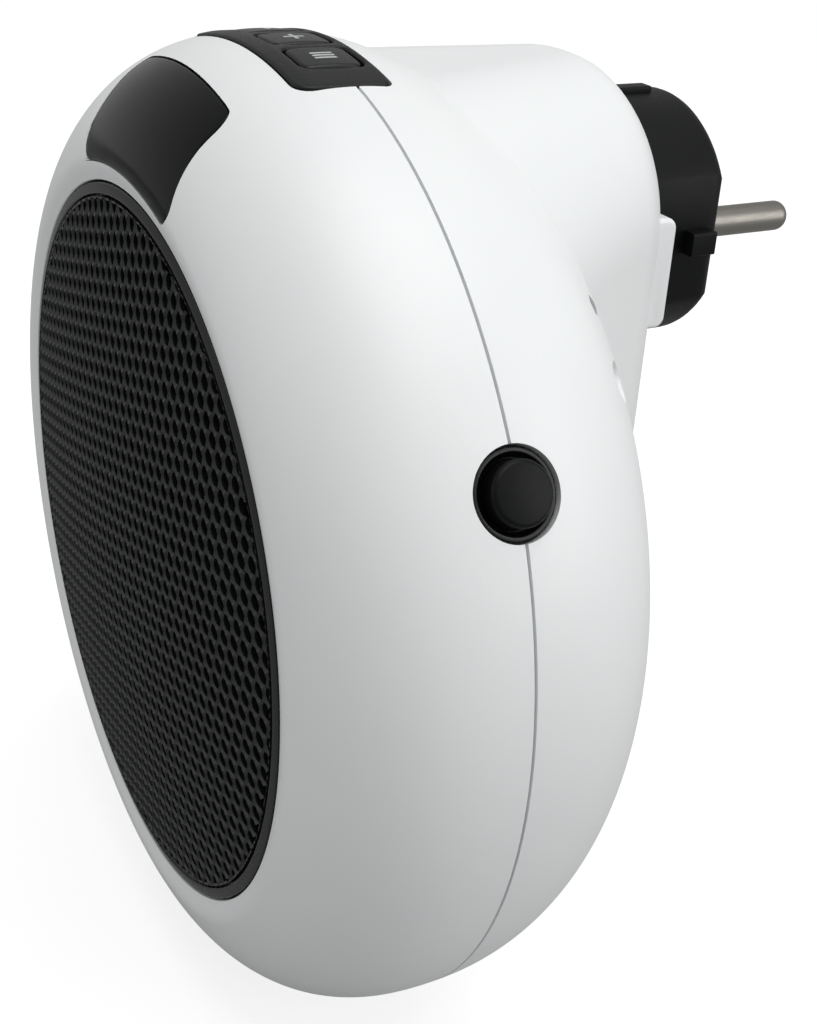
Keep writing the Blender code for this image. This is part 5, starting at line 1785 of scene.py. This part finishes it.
@dataclass
class Window:
    """The smoked display window in the front shell, over the outlet and a little to one side."""

    shell: FrontShell
    low_radius: float = 56.9
    high_radius: float = 70.6
    low_half_width: float = 19.8
    waist_half_width: float = 18.2
    high_half_width: float = 18.9
    shift: float = -1.6
    corner: float = 2.2
    far_corner: float = 3.6
    least_corner: float = 0.2
    corner_steps: int = 8
    arc_steps: int = 10
    side_steps: int = 12
    gap: float = 0.12
    cut_start: float = -4.0
    cut_end: float = 13.2
    thickness: float = 1.9
    rounding: float = 0.2
    grid: float = 1.1

    def outline(self, grow: float) -> list[Point]:
        """Two arcs about the outlet's axis, and two sides that draw in at the waist.

        Args:
            grow: how far the outline is grown.

        Returns:
            The (x, height) points.
        """
        low, high = self.low_radius - grow, self.high_radius + grow
        widths = (self.low_half_width, self.waist_half_width, self.high_half_width)
        low_x, waist, high_x = (width + grow for width in widths)
        bottom = arc(low, 0, math.asin(low_x / low), self.arc_steps)
        top = arc(high, math.asin(high_x / high), 0, self.arc_steps)
        dip = (low_x + high_x) / 2 - waist
        side = []
        for step in range(1, self.side_steps):
            share = step / self.side_steps
            x = low_x + (high_x - low_x) * share - 4 * dip * share * (1 - share)
            side.append((x, bottom[-1][1] + (top[0][1] - bottom[-1][1]) * share))
        half = bottom + side + top
        points = half + [(-x, z) for x, z in reversed(half[1:-1])]
        last, first, second = len(points), self.arc_steps, self.arc_steps + self.side_steps
        passed = [first - 1, first + 1, first + 2, second - 2, second - 1, second + 1]
        passed += [last - near for near in passed]
        kept = [index for index in range(last) if index not in passed]
        radii = {}
        for index in (first, second):
            radii[kept.index(index)] = max(self.least_corner, self.corner + grow)
            radii[kept.index(last - index)] = max(self.least_corner, self.far_corner + grow)
        rounded = fillet([points[index] for index in kept], radii, self.corner_steps)
        return [(x + self.shift, z) for x, z in rounded]

    def cutter(self) -> Shape:
        """What the shell loses for the window."""
        return prism(self.outline(self.gap), self.cut_start, self.cut_end)

    def surface(self, x: float, z: float) -> Vector:
        """The place on the front shell's skin at this x and height."""
        return Vector((x, self.shell.skin_depth(math.hypot(x, z)), z))

    def build(self) -> bpy.types.Object:
        """The lens on the shell's skin.

        Returns:
            The piece.
        """
        plate = SkinPlate(self.surface, self.outline, (), self.thickness, self.rounding, self.grid)
        piece = placed("smoked_window_lens", plate.built(), LENS)
        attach(piece, "housing")
        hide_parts("display_lens")
        return piece


@dataclass
class KeyPanel:
    """The key panel over the top, with three keys in it and plain signs on them."""

    drum: Drum
    half_width: float = 19.2
    start: float = 16.5
    end: float = 30.0
    corners: Point = (2.6, 1.5)
    gap: float = 0.25
    proud: float = 0.3
    thickness: float = 2.0
    rounding: float = 0.4
    grid: float = 1.0
    cut_low: float = 66.5
    cut_high: float = 78.0
    key_half_width: float = 3.7
    key_half_length: float = 4.4
    key_corner: float = 1.3
    key_spacing: float = 9.8
    key_depth: float = 24.2
    key_gap: float = 0.35
    key_proud: float = 0.15
    key_crown: float = 0.25
    key_thickness: float = 4.0
    key_rounding: float = 0.55
    key_grid: float = 0.8
    sign_thickness: float = 0.12
    sign_rounding: float = 0.02
    sign_corner: float = 0.1
    sign_rise: float = 0.04
    sign_half_length: float = 1.5
    sign_half_stroke: float = 0.28
    bar_half_length: float = 1.6
    bar_half_stroke: float = 0.24
    bar_spacing: float = 0.9

    def surface(self, x: float, depth: float) -> Vector:
        """The panel's skin, a little proud of the drum."""
        radius = min(self.drum.skin_radius(depth) + self.proud, self.drum.radius)
        return Vector((x, depth, math.sqrt(radius**2 - x**2)))

    def key_surface(self, x: float, depth: float) -> Vector:
        """The keys' crowned skin."""
        fall = ((depth - self.key_depth) / self.key_half_length) ** 2 * self.key_crown
        return Vector((x, depth, self.surface(x, self.key_depth).z + self.key_proud - fall))

    def outline(self, grow: float) -> list[Point]:
        """The panel's outline, rounder at its front corners than at its rear ones."""
        return rounded_box(self.half_width, self.start, self.end, self.corners)(grow)

    def key_centre(self, key: Key) -> float:
        """The x of a key's middle."""
        return self.drum.radius * math.sin(self.key_spacing * key.value / self.drum.radius)

    def key_outline(self, key: Key) -> Outline:
        """The outline of a key.

        Args:
            key: the key.

        Returns:
            A function that gives the outline grown by a length.
        """
        low, high = self.key_depth - self.key_half_length, self.key_depth + self.key_half_length
        corners = (self.key_corner, self.key_corner)
        return rounded_box(self.key_half_width, low, high, corners, self.key_centre(key))

    def hole(self, key: Key) -> Outline:
        """The outline of a key's hole in the panel."""
        return lambda grow: self.key_outline(key)(self.key_gap + grow)

    def cutter(self) -> Shape:
        """What the shells lose for the panel."""
        return prism(self.outline(self.gap), self.cut_low, self.cut_high, upright=True)

    def sign(self, key: Key) -> Shape:
        """A plain sign: a minus, a plus, or three bars.

        Args:
            key: the key that carries it.

        Returns:
            The sign's strokes.
        """
        long, stroke, bar = self.sign_half_length, self.sign_half_stroke, self.bar_half_stroke
        strokes = {
            Key.MINUS: [(0.0, long, stroke)],
            Key.PLUS: [(0.0, long, stroke), (0.0, stroke, long)],
            Key.MENU: [(x, bar, self.bar_half_length) for x in (-self.bar_spacing, 0.0, self.bar_spacing)],
        }[key]
        shapes = []
        for x, half_x, half_depth in strokes:
            low, high = self.key_depth - half_depth, self.key_depth + half_depth
            corners = (self.sign_corner, self.sign_corner)
            outline = rounded_box(half_x, low, high, corners, self.key_centre(key) + x)
            thickness, rounding = self.sign_thickness, self.sign_rounding
            plate = SkinPlate(self.key_surface, outline, (), thickness, rounding, self.key_grid, rim_steps=1)
            shapes.append(shifted(plate.built(), 0, self.sign_rise))
        return merged(shapes)

    def build(self) -> list[bpy.types.Object]:
        """The panel and its keys.

        Returns:
            The panel, then each key's cap and sign.
        """
        holes = [self.hole(key) for key in Key]
        plate = SkinPlate(self.surface, self.outline, holes, self.thickness, self.rounding, self.grid)
        panel = placed("key_panel", plate.built(), BLACK_TEXTURED)
        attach(panel, "housing")
        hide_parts("control_panel")
        made = [panel]
        for key in Key:
            node = f"{key.name.lower()}_key"
            outline, thickness, rounding = self.key_outline(key), self.key_thickness, self.key_rounding
            plate = SkinPlate(self.key_surface, outline, (), thickness, rounding, self.key_grid)
            cap = placed(f"{node}_cap", plate.built(), BLACK_KEY)
            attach(cap, node)
            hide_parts(node)
            sign = placed(f"{node}_sign", self.sign(key), PALE_PRINT)
            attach(sign, node)
            made += [cap, sign]
        return made


@dataclass
class PowerButton:
    """The round push button in its cup on the parting line."""

    drum: Drum
    angle: float = math.radians(61.9)
    hole_radius: float = 5.9
    hole_reach: float = 3.0
    setback: float = 0.9
    lip: float = 0.6
    sunk: float = 0.8
    length: float = 11.7
    gap: float = 0.3
    cap_radius: float = 4.1
    cap_proud: float = 1.6
    cap_start: float = -10.2
    cap_gap: float = 0.25
    cap_shoulder: float = 0.7
    cap_shoulder_drop: float = 0.95
    cap_crown: float = 0.25
    crown_steps: int = 12
    shoulder_steps: int = 6
    turns: int = 96

    def turned_out(self, shape: Shape) -> Shape:
        """Turns a shape made along the depth axis to stand out of the drum's side at the button.

        Args:
            shape: the shape.

        Returns:
            The same shape.
        """
        upright = Matrix.Rotation(QUARTER, 4, "X")
        place = Matrix.Rotation(self.angle, 4, "Y")
        return moved(shape, place @ Matrix.Translation((0, self.drum.parting, self.drum.radius)) @ upright)

    def cutter(self) -> Shape:
        """What the shells lose for the cup."""
        return self.turned_out(cylinder(self.hole_radius, -self.length, self.hole_reach, self.turns))

    def cup(self) -> bpy.types.Object:
        """The recessed cup that the button stands in.

        Returns:
            The piece.
        """
        outer, bore = self.hole_radius - self.gap, self.cap_radius + self.cap_gap
        top, floor, end = -self.setback, -self.setback - self.sunk, -self.length - self.gap
        corners = [
            (outer, top),
            (outer - self.lip, top),
            (outer - 2 * self.lip, floor),
            (bore, floor),
            (bore, end),
            (outer, end),
        ]
        profile = fillet(corners, {0: 0.2, 1: 0.2, 2: 0.3, 3: 0.15}, 4)
        cup = placed("power_button_cup", self.turned_out(revolved(profile, self.turns)), BLACK_GLOSS)
        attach(cup, "housing")
        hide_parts("power_bezel")
        return cup

    def cap(self) -> bpy.types.Object:
        """The button's cap, with a round shoulder and a slight crown.

        Returns:
            The piece.
        """
        radius, shoulder = self.cap_radius, self.cap_shoulder
        flat, level = radius - shoulder, self.cap_proud - self.cap_shoulder_drop
        profile = [(0.0, self.cap_start), (radius, self.cap_start), (radius, level)]
        for angle in quarter(self.shoulder_steps)[1:]:
            profile.append((radius - shoulder * (1 - math.cos(angle)), level + shoulder * math.sin(angle)))
        for step in range(1, self.crown_steps + 1):
            share = step / self.crown_steps
            profile.append((flat - flat * share, self.cap_proud - self.cap_crown * (1 - share) ** 2))
        cap = placed("power_button_cap", self.turned_out(revolved(profile, self.turns)), CAP_BLACK)
        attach(cap, "power_button")
        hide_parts("power_button")
        return cap


@dataclass
class WallPlug:
    """The plug's insert in the neck's end, and its two round pins."""

    height: float = 45.0
    face_depth: float = 89.4
    start_depth: float = 68.1
    radius: float = 19.4
    flat: float = 17.0
    arc_steps: int = 32
    flange_radius: float = 21.2
    flange_end: float = 71.1
    flange_turns: int = 96
    bevel: float = 2.3
    bevel_inset: float = 1.6
    bevel_steps: int = 6
    rib_half_height: float = 1.8
    rib_start: float = 82.7
    rib_corner: float = 0.35
    tab_half_width: float = 1.5
    tab_height: float = 20.2
    tab_inset: float = 1.5
    tab_end: float = 84.7
    tab_corners: Point = (0.05, 0.35)
    pin_radius: float = 2.4
    pin_length: float = 19.0
    pin_offset: float = 9.5
    pin_start: float = 64.9
    pin_tip: float = 1.9
    pin_tip_steps: int = 8
    pin_turns: int = 64
    hole_gap: float = 0.25
    hole_start: float = 60.0
    hole_end: float = 95.0
    hole_turns: int = 48

    def contour(self, inset: float) -> list[Point]:
        """The insert's outline: a circle cut off at each side.

        Args:
            inset: how far the outline is drawn in.

        Returns:
            The (x, height) points.
        """
        radius, flat = self.radius - inset, self.flat - inset
        start = math.asin(flat / radius)
        upper = arc(radius, -start, start, self.arc_steps)
        return upper + arc(radius, math.pi - start, math.pi + start, self.arc_steps)

    def insert(self) -> bpy.types.Object:
        """The insert with its flange, tab, ribs and pin holes.

        Returns:
            The piece.
        """
        bevel_start = self.face_depth - self.bevel
        levels = [(self.start_depth, 0.0)]
        for angle in quarter(self.bevel_steps):
            inset = self.bevel_inset * (1 - math.cos(angle))
            levels.append((bevel_start + self.bevel * math.sin(angle), inset))
        shape = lofted([[(x, depth, z) for x, z in self.contour(inset)] for depth, inset in levels])
        flange = cylinder(self.flange_radius, self.start_depth, self.flange_end, self.flange_turns)
        tab = rounded_box(self.tab_half_width, self.flat, self.tab_height, self.tab_corners)(0.0)
        rib = box(self.radius, -self.rib_half_height, self.rib_half_height)
        rib = fillet(rib, dict.fromkeys(range(4), self.rib_corner), 4)
        steps = [
            (Operation.ADD, flange),
            (Operation.ADD, prism(tab, self.start_depth + self.tab_inset, self.tab_end)),
            (Operation.ADD, prism(rib, self.rib_start, bevel_start)),
        ]
        for side in Side:
            hole = cylinder(self.pin_radius + self.hole_gap, self.hole_start, self.hole_end, self.hole_turns)
            steps.append((Operation.CUT, shifted(hole, side.value * self.pin_offset, 0)))
        piece = placed("plug_body", shifted(combined(shape, steps), 0, self.height), PLUG_POLYAMIDE)
        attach(piece, "housing")
        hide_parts("plug_insert")
        return piece

    def pin(self, side: Side) -> bpy.types.Object:
        """One pin with a rounded tip.

        Args:
            side: the side that it stands on.

        Returns:
            The piece.
        """
        node = f"plug_pin_{side.name.lower()}"
        end, tip = self.face_depth + self.pin_length, self.pin_tip
        profile = [(0.0, self.pin_start), (self.pin_radius, self.pin_start)]
        for angle in quarter(self.pin_tip_steps):
            profile.append((self.pin_radius - tip * (1 - math.cos(angle)), end - tip + tip * math.sin(angle)))
        profile.append((0.0, end))
        shape = shifted(revolved(profile, self.pin_turns), side.value * self.pin_offset, self.height)
        piece = placed(f"{node}_turned", shape, NICKEL)
        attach(piece, "housing")
        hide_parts(node)
        return piece


@dataclass
class CaseScrews:
    """The four pan-head screws at the bottom of the rear shell's posts."""

    circle: float = 63.0
    head_radius: float = 2.6
    head_height: float = 2.0
    head_crown: float = 0.6
    head_steps: int = 6
    shank_radius: float = 1.2
    point_length: float = 1.2
    length: float = 17.0
    head_depth: float = 32.5
    recess_half: float = 0.35
    recess_reach: float = 1.5
    recess_depth: float = 1.1
    recess_clear: float = 1.0
    turns: int = 24

    def one(self) -> Shape:
        """One screw, head first, with a cross recess.

        Returns:
            The screw, at the top of the drum.
        """
        top, height = self.head_depth, self.head_height
        profile = [(0.0, top)]
        for angle in quarter(self.head_steps):
            crown = height * self.head_crown * (1 - math.cos(angle))
            profile.append((self.head_radius * math.sin(angle), top - crown))
        profile += [
            (self.head_radius, top - height),
            (self.shank_radius, top - height),
            (self.shank_radius, top - self.length + self.point_length),
            (0.0, top - self.length),
        ]
        half, reach = self.recess_half, self.recess_reach
        arms = []
        for wide, tall in ((reach, half), (half, reach)):
            arm = prism(box(wide, -tall, tall), top - self.recess_depth, top + self.recess_clear)
            arms.append((Operation.CUT, arm))
        return shifted(combined(revolved(profile, self.turns), arms, "EXACT"), 0, self.circle)

    def build(self, angles: Sequence[float]) -> bpy.types.Object:
        """All four screws as one piece on the housing.

        Args:
            angles: the angle of each screw from up toward +X.

        Returns:
            The piece.
        """
        names = [f"Angle {number}" for number in range(len(angles))]
        tree = RepeatTree("screw_ring", dict(zip(names, angles)), STEEL)
        turn: Term | None = None
        for number, name in enumerate(names):
            share = tree.index.by("COMPARE", float(number)) * tree.size(name)
            turn = turn + share if turn else share
        points = tree.node("GeometryNodePoints", {"Count": len(angles)})
        copies = tree.copies(points, Rotation=tree.node("ShaderNodeCombineXYZ", Y=turn))
        piece = placed("case_screws", tree.grown(copies, self.one(), "case_screws"), STEEL)
        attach(piece, "housing")
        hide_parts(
            "case_screw_right", "case_screw_lower_right", "case_screw_lower_left", "case_screw_left"
        )
        return piece


@dataclass(frozen=True)
class CadDress:
    """Better materials for the CAD nodes whose shapes are kept."""

    finishes: tuple[tuple[Finish, tuple[str, ...]], ...] = (
        (DISPLAY_RESIN, ("digit_display",)),
        (BOARD, ("display_board", "control_board", "power_board")),
        (BLACK_TEXTURED, ("menu_switch", "plus_switch", "minus_switch", "power_switch")),
        (GREY_DUCT, ("fan_duct", "fan_impeller", "plug_clamp")),
        (STEEL, ("fan_motor", "fan_shaft", "thermal_cutout", "clamp_screw_left", "clamp_screw_right")),
        (BROWN_FRAME, ("heater_frame",)),
        (CERAMIC, ("ptc_bar_upper", "ptc_bar_lower")),
        (ALUMINIUM, ("fin_pack_upper", "fin_pack_middle", "fin_pack_lower")),
        (BRASS, ("terminal_live", "terminal_neutral")),
        (RELAY_CASE, ("relay",)),
        (CAPACITOR_CASE, ("filter_capacitor",)),
        (RED_LEAD, ("lead_live", "mains_lead_left")),
        (BLUE_LEAD, ("lead_neutral", "mains_lead_right")),
    )

    def apply(self, nodes: dict[str, bpy.types.Object]) -> int:
        """Gives each kept node its finish.

        Args:
            nodes: the CAD's nodes by name.

        Returns:
            How many nodes there are.
        """
        for finish, names in self.finishes:
            for name in names:
                for slot in nodes[name].material_slots:
                    slot.material = finish.material()
        return sum(len(names) for _, names in self.finishes)


@dataclass(frozen=True)
class SoftLight:
    """One soft square light, with its place and size in metres and its power in watts."""

    name: str
    place: tuple[float, float, float]
    size: float
    power: float

    def build(self, target: Vector) -> None:
        """Puts the light in the scene, aimed at a point.

        Args:
            target: the point, in metres.
        """
        data = bpy.data.lights.new(self.name, "AREA")
        data.shape = "SQUARE"
        data.size = self.size
        data.energy = self.power
        made = bpy.data.objects.new(self.name, data)
        aim = target - Vector(self.place)
        made.matrix_world = Matrix.Translation(self.place) @ aim.to_track_quat("-Z", "Y").to_matrix().to_4x4()
        bpy.context.scene.collection.objects.link(made)


@dataclass
class Studio:
    """The pale floor, the soft lights and the camera at the photograph's place, all in metres."""

    camera_place: tuple[float, float, float] = (0.19526, -0.15196, 0.06680)
    right: tuple[float, float, float] = (0.4630069, 0.8846141, 0.0555203)
    up: tuple[float, float, float] = (-0.4284257, 0.1685226, 0.8877227)
    focal: float = 53.075
    sensor: float = 36.0
    clip: tuple[float, float] = (0.01, 20.0)
    target: tuple[float, float, float] = (0.0, -0.06, -0.04)
    lights: tuple[SoftLight, ...] = (
        SoftLight("key_light", (0.28, 0.05, 1.15), 1.0, 8.5),
        SoftLight("rear_light", (0.78, 0.70, 0.30), 0.7, 3.7),
        SoftLight("front_fill", (-0.4, -1.15, 0.2), 1.0, 1.7),
    )
    floor_height: float = -0.1196
    floor_size: float = 6.0
    floor_cells: int = 8
    air: float = 0.47
    backdrop: float = 1.0

    def camera(self) -> None:
        """Puts the camera where the photograph was taken from."""
        data = bpy.data.cameras.new("photo_camera")
        data.sensor_width = self.sensor
        data.lens = self.focal
        data.clip_start, data.clip_end = self.clip
        made = bpy.data.objects.new("photo_camera", data)
        right, up = Vector(self.right), Vector(self.up)
        turn = Matrix((right, up, right.cross(up))).transposed().to_4x4()
        made.matrix_world = Matrix.Translation(self.camera_place) @ turn
        bpy.context.scene.collection.objects.link(made)
        bpy.context.scene.camera = made

    def world(self) -> None:
        """Makes the air: a white backdrop in the picture, and a weaker light on the object."""
        world = bpy.data.worlds.new("studio_air")
        world.use_nodes = True
        tree = world.node_tree
        background = tree.nodes["Background"]
        background.inputs["Color"].default_value = (1.0, 1.0, 1.0, 1.0)
        seen = add_node(tree, "ShaderNodeLightPath").outputs["Is Camera Ray"]
        levels = {"To Min": self.air, "To Max": self.backdrop}
        strength = add_node(tree, "ShaderNodeMapRange", levels, {"Value": seen}).outputs["Result"]
        tree.links.new(strength, background.inputs["Strength"])
        bpy.context.scene.world = world
        bpy.context.scene.view_settings.view_transform = "Standard"

    def floor(self) -> None:
        """Lays the pale floor."""
        shape = bmesh.new()
        cells = self.floor_cells
        bmesh.ops.create_grid(shape, x_segments=cells, y_segments=cells, size=self.floor_size / 2)
        bmesh.ops.translate(shape, vec=(0, 0, self.floor_height), verts=shape.verts)
        floor = new_object("pale_floor", as_mesh("pale_floor", shape))
        floor.data.materials.append(PAPER.material())

    def build(self) -> None:
        """Everything around the object."""
        self.camera()
        for light in self.lights:
            light.build(Vector(self.target))
        self.world()
        self.floor()


def report(pieces: Sequence[bpy.types.Object]) -> None:
    """Says what each piece is made of.

    Args:
        pieces: the pieces.
    """
    for piece in pieces:
        LOG.info("%s: %d faces, %s", piece.name, len(piece.data.polygons), piece.data.materials[0].name)


def main() -> None:
    """Builds every sub-assembly in order."""
    logging.basicConfig(level=logging.INFO, format="%(name)s: %(message)s")
    Studio().build()
    drum = Drum()
    front, rear, panel, button = FrontShell(drum), RearShell(drum, Neck()), KeyPanel(drum), PowerButton(drum)
    window, outlet, plug = Window(front), Outlet(), WallPlug()
    report([front.build([window.cutter(), panel.cutter(), button.cutter()])])
    report([rear.build([panel.cutter(), button.cutter()])])
    report([outlet.ring(), outlet.sheet()])
    report([window.build()])
    report(panel.build())
    report([button.cup(), button.cap()])
    report([plug.insert(), *(plug.pin(side) for side in Side)])
    report([CaseScrews().build([rear.slot_angle(index) for index in rear.post_slots])])
    LOG.info("CAD nodes dressed: %d", CadDress().apply(FRAME["nodes"]))


if __name__ == "__main__":
    main()
